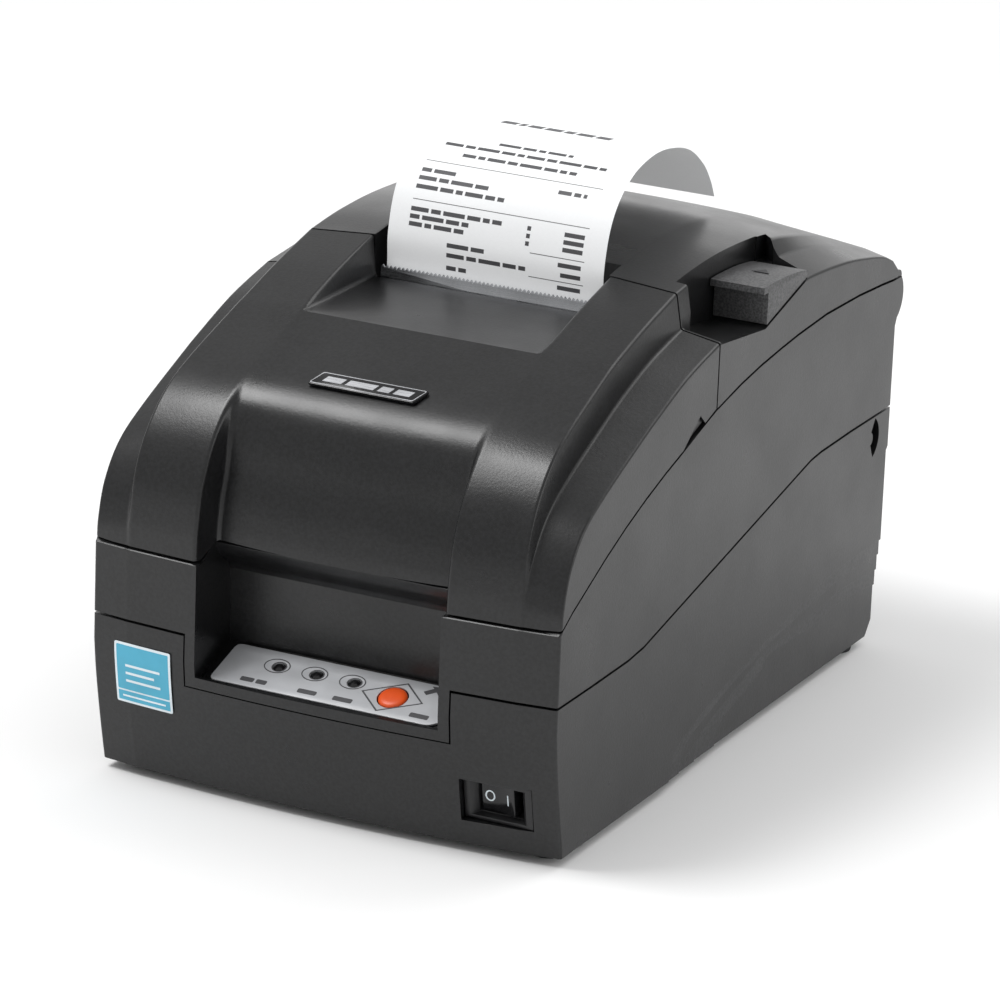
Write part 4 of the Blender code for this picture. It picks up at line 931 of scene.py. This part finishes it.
def make_panel():
    outline = rounded_loop(LABEL_OUTLINE, 2.2, 6)
    holes = [circle(spot, LAMP_HOLE) for spot in LAMPS] + [circle(BUTTON, BUTTON_HOLE)]
    label = to_object("panel_film", on_panel(slab(outline, LABEL_BOTTOM, LABEL_TOP, holes)))
    finish_piece(label, "base", label_film, ("panel_label",), 0.15)
    button = on_panel(moved(turned(BUTTON_PROFILE, 56), Matrix.Translation((*BUTTON, 0))))
    button = to_object("button_cap", button)
    finish_piece(button, "feed_button", button_orange, ("feed_button",))
    marks = []
    for x, y in LAMPS:
        marks.append(film(oval((x, y), 2.5, 2.3), [circle((x, y), LAMP_HOLE)]))
        middle = (x - 0.8, y + 0.2)
        marks.append(film(oval(middle, 4.4, 3.3), [oval(middle, 4.05, 2.95)]))
    x, y = BUTTON
    diamond = ((x - 10.8, y), (x + 1.8, y + 7.4), (x + 10.4, y), (x - 2.2, y - 7.4))
    inner = [(x + (u - x) * 0.93, y + (v - y) * 0.92) for u, v in diamond]
    marks.append(film(diamond, [inner]))
    arrow = ((x + 8.0, y + 5.2), (x + 10.6, y + 7.4), (x + 9.6, y + 8.2), (x + 13.6, y + 8.6),
             (x + 13.0, y + 5.0), (x + 12.0, y + 6.1), (x + 9.4, y + 4.0))
    marks.append(film(arrow))
    for left, width in WORD_BARS:
        marks.append(film(rounded_loop(rectangle(left, WORD_LOW, left + width, WORD_HIGH), 0.5, 3)))
    for number, mark in enumerate(marks):
        piece = to_object(f"panel_mark_{number}", on_panel(mark))
        finish_piece(piece, "base", print_ink, smooth=False)


make_panel()


# ---- Power switch ----------------------------------------------------
ROCKER_HALF = 6.0
ROCKER_REST = math.radians(-8)
ROCKER_RISE = 5.2
FUNNEL_HALF = 7.0


def rocker_face(x):
    return -ROCKER_RISE - (x / ROCKER_HALF) ** 2


def make_switch():
    x_low, x_high = SWITCH_X[0] + 0.3, SWITCH_X[1] - 0.3
    z_low, z_high = SWITCH_Z[0] + 0.3, SWITCH_Z[1] - 0.3
    middle_x, pivot_y = ROCKER_MIDDLE
    body = switch_tilted(block((x_low, SWITCH_FACE, z_low), (x_high, -104, z_high)))
    housing = to_object("switch_frame", body)
    funnel = ((49.4, -121.6), (middle_x - FUNNEL_HALF, -117.2), (middle_x + FUNNEL_HALF, -117.2),
              (70.4, -121.6))
    shaft = block((middle_x - 7.5, -REACH, z_low + 1.4), (middle_x + 7.5, -106, z_high - 1.4))
    cut(housing, switch_tilted(shaft), switch_tilted(plate("XY", funnel, z_low + 1.2, z_high - 1.2)))
    finish_piece(housing, "base", black_satin, ("switch_housing",), 0.25)
    face = [(x, rocker_face(x)) for x in (1.5 * k for k in range(-4, 5))]
    outline = face + [(6.0, -2.5), (4.0, 1.5), (-4.0, 1.5), (-6.0, -2.5)]
    rocker = plate("XY", outline, z_low + 1.8, z_high - 1.8)

    def rocked(solid):
        turn = Matrix.Translation((middle_x, pivot_y, 0)) @ Matrix.Rotation(ROCKER_REST, 4, "Z")
        return switch_tilted(moved(solid, turn))

    rocker = to_object("rocker_cap", rocked(rocker))
    finish_piece(rocker, "power_rocker", black_gloss, ("power_rocker",), 0.3, 3)
    middle_z = sum(SWITCH_Z) / 2
    off = plate("XZ", oval((-3.3, middle_z), 1.6, 1.9), -1, 1, [oval((-3.3, middle_z), 1.15, 1.45)])
    on = plate("XZ", rectangle(2.85, middle_z - 1.8, 3.35, middle_z + 1.8), -1, 1)
    for name, mark in (("rocker_mark_off", off), ("rocker_mark_on", on)):
        for vert in mark.verts:
            vert.co.y = rocker_face(vert.co.x) + (0.1 if vert.co.y > 0 else -0.06)
        piece = to_object(name, rocked(mark))
        finish_piece(piece, "power_rocker", pale_film, smooth=False)


make_switch()


# ---- Badge and front mark --------------------------------------------
def front_sheet(outline, lift, thickness, steps=10):
    """A flat outline in x and z laid on the curved front."""
    sheet = plate("XZ", outline, -1.0, 1.0)
    for axis, normal in enumerate((Vector((1, 0, 0)), Vector((0, 0, 1)))):
        places = [point[axis] for point in outline]
        pitch = (max(places) - min(places)) / steps
        for i in range(1, steps):
            bmesh.ops.bisect_plane(sheet, geom=sheet.verts[:] + sheet.edges[:] + sheet.faces[:],
                                   plane_co=normal * (min(places) + i * pitch), plane_no=normal)
    for vert in sheet.verts:
        front = vert.co.y < 0
        vert.co.y = front_y(vert.co.x, vert.co.z) - lift - (thickness if front else 0)
    return sheet


def make_marks():
    """The front sticker: a pale sheet with a blue field, a blue strip and plain bars."""
    left, right, low, high = -71.6, -50.7, 25.9, 46.4
    rim, row = 0.8, 2.6
    sheet = rounded_loop(rectangle(left, low, right, high), 0.7)
    backing = to_object("front_mark_backing", front_sheet(sheet, 0.3, 0.2))
    finish_piece(backing, "base", pale_film, ("front_label",))
    field = rounded_loop(rectangle(left + rim, low + 4.6, right - rim, high - rim), 0.4)
    strip = rectangle(left + rim, low + rim, right - rim, low + 4.0)
    for name, outline in (("front_mark_field", field), ("front_mark_strip", strip)):
        finish_piece(to_object(name, front_sheet(outline, 0.5, 0.08)), "base", blue_film)
    bars = [rectangle(left + 2.4, low + 2.1, right - 2.4, low + 2.7)]
    for k in range(3):
        bottom = low + 7.4 + row * k
        bars.append(rectangle(left + 4.0, bottom, right - 4.0 - 2.2 * (k % 2), bottom + 0.8))
    for number, bar in enumerate(bars):
        piece = to_object(f"front_mark_bar_{number}", front_sheet(bar, 0.58, 0.06, 4))
        finish_piece(piece, "base", pale_film)


BADGE_Y = -95.0
BADGE_MIDDLE = -1.75
BADGE_THICK, BADGE_PRINT = 1.0, 1.06
BADGE_OUTLINE = ((-21.2, -3.2), (15.2, -3.2), (17.7, 3.2), (-18.7, 3.2))
BADGE_BARS = ((-17.0, 6.4), (-9.2, 9.6), (1.8, 4.0), (7.2, 5.6))
BADGE_BAR_HALF = 1.25


def make_badge():
    """A black plate on the front cover with a silver border and four slanted bars."""
    lane = centre_path(0, 8)
    spot = min(lane, key=lambda point: abs(point[0] - BADGE_Y))
    ahead = lane[lane.index(spot) + 1]
    slope = math.atan2(ahead[1] - spot[1], ahead[0] - spot[0])
    outline = rounded_loop(BADGE_OUTLINE, 0.8)
    rim, core = ([(BADGE_MIDDLE + (x - BADGE_MIDDLE) * wide, y * tall) for x, y in outline]
                 for wide, tall in ((0.975, 0.88), (0.96, 0.79)))
    pieces = [("badge_plate", slab(outline, 0.0, BADGE_THICK), black_gloss, ("nameplate",), "badge_silver"),
              ("badge_border", slab(rim, BADGE_THICK, BADGE_PRINT, [core]), badge_silver, (), None)]
    for number, (left, width) in enumerate(BADGE_BARS):
        bar = ((left, -BADGE_BAR_HALF), (left + width, -BADGE_BAR_HALF),
               (left + width + 1, BADGE_BAR_HALF), (left + 1, BADGE_BAR_HALF))
        pieces.append((f"badge_bar_{number}", slab(bar, BADGE_THICK, BADGE_PRINT), badge_silver, (), None))
    stand = Matrix.Translation((0, *spot)) @ Matrix.Rotation(slope, 4, "X") @ Matrix.Translation((0, 0, 0.3))
    for name, piece, material, nodes, slot in pieces:
        finish_piece(to_object(name, moved(piece, stand)), "front_cover", material, nodes,
                     0.1 if nodes else 0)


make_marks()
make_badge()


# ---- Paper, tear bar -------------------------------------------------
PAPER_HALF = 38.0
PAPER_Y = -15.6
PAPER_PATH = ((PAPER_Y, 126), (PAPER_Y, 136), (PAPER_Y, 147), (-15.7, 157), (-12.4, 169), (-5.8, 177.6),
              (4.4, 183.6), (18, 186.3), (31, 185.5), (44.4, 181.8), (55.6, 174.4), (61.8, 167.2),
              (64.8, 161.8))
PAPER_THICK = 0.12
INK_LIFT, INK_THICK = 0.07, 0.02
HEADING = (89.0, 2.2)  # Distance along the paper and half the height of the letters
HEADING_WIDTHS = (5.4, 2.2, 5.0, 5.8, 3.4, 5.8, 5.0)
WORD_WIDTHS = (6.2, 3.4, 7.6, 4.6, 2.4)
WORD_HALF, RULE_HALF = 0.7, 0.12
WORD_ROWS = ((68.8, -11, 15, 2), (64.8, -28, 29, 0), (60.6, -20, 20, 3), (52.7, -31, -18, 1),
             (52.7, 17, 27, 3), (49.8, -31, -5, 0), (46.8, -31, 0, 2), (39.5, -31, 1, 0),
             (37.1, -31, -10, 1), (34.7, -31, -10, 3), (29.8, -17, -3, 2), (26.6, -17, 11, 0),
             (22.4, -17, -10, 1))
ITEM_ROWS = (39.5, 37.1, 34.7)
SUMS = ((29.8, 22, 8), (26.6, 23, 7), (22.4, 22, 8))
RULES = ((56.4, -31), (42.6, -31), (32.0, 12), (24.4, 12))


def paper_point(distance, lift):
    """A point on the paper, by the distance along it, lifted off its printed face."""
    i = min(max(int(distance / paper_step), 0), len(paper_path) - 2)
    here, there = Vector(paper_path[i]), Vector(paper_path[i + 1])
    share = (distance - paper_reach[i]) / (paper_reach[i + 1] - paper_reach[i])
    along = (there - here).normalized()
    return here.lerp(there, share) + Vector((-along.y, along.x)) * lift


def resample(path, step):
    """Points at equal distances along a path."""
    reach = [0.0]
    for a, b in zip(path, path[1:]):
        reach.append(reach[-1] + (Vector(b) - Vector(a)).length)
    count = int(reach[-1] / step)
    points = []
    i = 0
    for k in range(count + 1):
        want = reach[-1] * k / count
        while reach[i + 1] < want and i < len(reach) - 2:
            i += 1
        share = (want - reach[i]) / (reach[i + 1] - reach[i])
        points.append(tuple(Vector(path[i]).lerp(Vector(path[i + 1]), share)))
    return points, reach[-1] / count


paper_path, paper_step = resample(smooth_path(PAPER_PATH, 12), 1.5)
paper_reach = [k * paper_step for k in range(len(paper_path))]


def add_slab(solid, left, right, start, end, lift, thickness, across=1):
    """Add a slab that follows the curling paper."""
    count = max(1, round((end - start) / paper_step))
    layers = []
    for height in (lift, lift + thickness):
        grid = []
        for i in range(count + 1):
            y, z = paper_point(start + (end - start) * i / count, height)
            grid.append([solid.verts.new((left + (right - left) * j / across, y, z))
                         for j in range(across + 1)])
        layers.append(grid)
    for grid in layers:
        for a, b in zip(grid, grid[1:]):
            for j in range(across):
                solid.faces.new((a[j], a[j + 1], b[j + 1], b[j]))
    low, high = layers
    rims = [grid[0] + [row[-1] for row in grid[1:]] + grid[-1][-2::-1] + [row[0] for row in grid[-2:0:-1]]
            for grid in (low, high)]
    for i in range(len(rims[0])):
        j = (i + 1) % len(rims[0])
        solid.faces.new((rims[0][i], rims[0][j], rims[1][j], rims[1][i]))


def print_rows():
    """Rows of plain bars, like words: (distance along the paper, left, width, half height)."""
    rows = []
    left = -20.0
    for width in HEADING_WIDTHS:
        rows.append((HEADING[0], left, width, HEADING[1]))
        left += width + 1.0
    for distance, left, right, k in WORD_ROWS:
        while left < right - 1.0:
            width = min(WORD_WIDTHS[k % 5], right - left)
            rows.append((distance, left, width, WORD_HALF))
            left += width + 0.9
            k += 1
    rows += [(distance, *place, WORD_HALF) for distance in ITEM_ROWS for place in ((10, 1.3), (23, 7))]
    rows += [(*place, WORD_HALF) for place in SUMS]
    rows += [(distance, left, 31 - left, RULE_HALF) for distance, left in RULES]
    return rows


def make_paper():
    sheet = bmesh.new()
    add_slab(sheet, -PAPER_HALF, PAPER_HALF, 0, paper_reach[-1], -PAPER_THICK / 2, PAPER_THICK, 12)
    strip = to_object("receipt_curl", outward(sheet))
    finish_piece(strip, "rear_cover", glowing_paper_face, ("receipt_strip",))
    marks = bmesh.new()
    for distance, left, width, half in print_rows():
        add_slab(marks, left, left + width, distance - half, distance + half, INK_LIFT, INK_THICK)
    finish_piece(to_object("receipt_print", outward(marks)), "rear_cover", print_ink, smooth=False)


BLADE_HALF = 38.5
TEETH = 54
TOOTH_LOW, TOOTH_HIGH = 146.0, 146.9


def make_tear_bar():
    bar = to_object("tear_strip", block((-61.1, -30, 137.3), (61.1, -17.9, 138.3)))
    cut(bar, block((-62, -23, 130), (-40.5, -10, 150)), block((40.5, -23, 130), (62, -10, 150)))
    pitch = 2 * BLADE_HALF / TEETH
    top = []
    for k in range(TEETH):
        left = -BLADE_HALF + k * pitch
        top += [(left, TOOTH_LOW), (left + pitch / 2, TOOTH_HIGH)]
    base = [(-BLADE_HALF, 137.9), (BLADE_HALF, 137.9), (BLADE_HALF, TOOTH_LOW)]
    blade = plate("XZ", base + top[::-1], -18.9, -18.3)
    add(bar, blade)
    finish_piece(bar, "base", bright_steel, ("tear_bar",), 0.08)


make_paper()
make_tear_bar()


# ---- Cover lever -----------------------------------------------------
LEVER_TOP = ((13.8, 148.3), (13.8, 150.2), (14.4, 150.45), (20, 150.6), (32, 150.2), (41, 149.3),
             (46.6, 148.4))
LEVER_UNDER = [(47.6, 147.3), (46.4, 146.0), (17.0, 137.8), (17.0, 148.2)]
LEVER_X = (61.0, 79.7)


def make_lever():
    """The thumb lever, with an arrow laid on its sloping top."""
    lever = to_object("lever_cap", plate("YZ", smooth_path(LEVER_TOP, 4) + LEVER_UNDER, *LEVER_X))
    finish_piece(lever, "cover_lever", lever_lit_plastic, ("cover_lever",), 0.5, 3)
    arrow = plate("XY", ((68.2, 29.2), (74.2, 29.2), (71.2, 33.4)), 150.36, 150.44)
    for vert in arrow.verts:
        vert.co.z += 0.12 + (31.0 - vert.co.y) * 0.045
    finish_piece(to_object("lever_arrow", arrow), "cover_lever", ink_black, smooth=False)


make_lever()


# ---- Floor and light -------------------------------------------------
FLOOR_HALF = 6000


def add_floor():
    grid = bmesh.new()
    bmesh.ops.create_grid(grid, x_segments=1, y_segments=1, size=FLOOR_HALF)
    floor = to_object("floor", grid)
    floor.data.materials.append(Paint("floor_white", (0.9, 0.9, 0.9), 0.9, specular=0.0).material)


def add_light(name, place, target, size, power, height=None):
    data = bpy.data.lights.new(name, "AREA")
    data.shape = "RECTANGLE"
    data.size = size
    data.size_y = height or size
    data.energy = power
    light = linked(name, data)
    light.location = place
    light.rotation_euler = (Vector(target) - Vector(place)).to_track_quat("-Z", "Y").to_euler()


add_floor()
add_light("top_box", (-0.6, -0.4, 1.35), (0, 0, 0.1), size=0.62, power=13)
add_light("back_box", (0.5, 1.3, 1.8), (0, 0, 0.1), size=1.4, power=12)
add_light("side_box", (1.9, 0.2, 1.0), (0, 0, 0.08), size=1.4, power=9)
add_light("back_wall", (-1.6, 3.4, 0.8), (0, 0, 0.1), size=4.0, power=16, height=1.4)
world = bpy.data.worlds.new("studio")
world.use_nodes = True
background = world.node_tree.nodes["Background"].inputs
background["Color"].default_value = (1, 1, 1, 1)
background["Strength"].default_value = 0.6
bpy.context.scene.world = world
bpy.context.scene.view_settings.view_transform = "Standard"
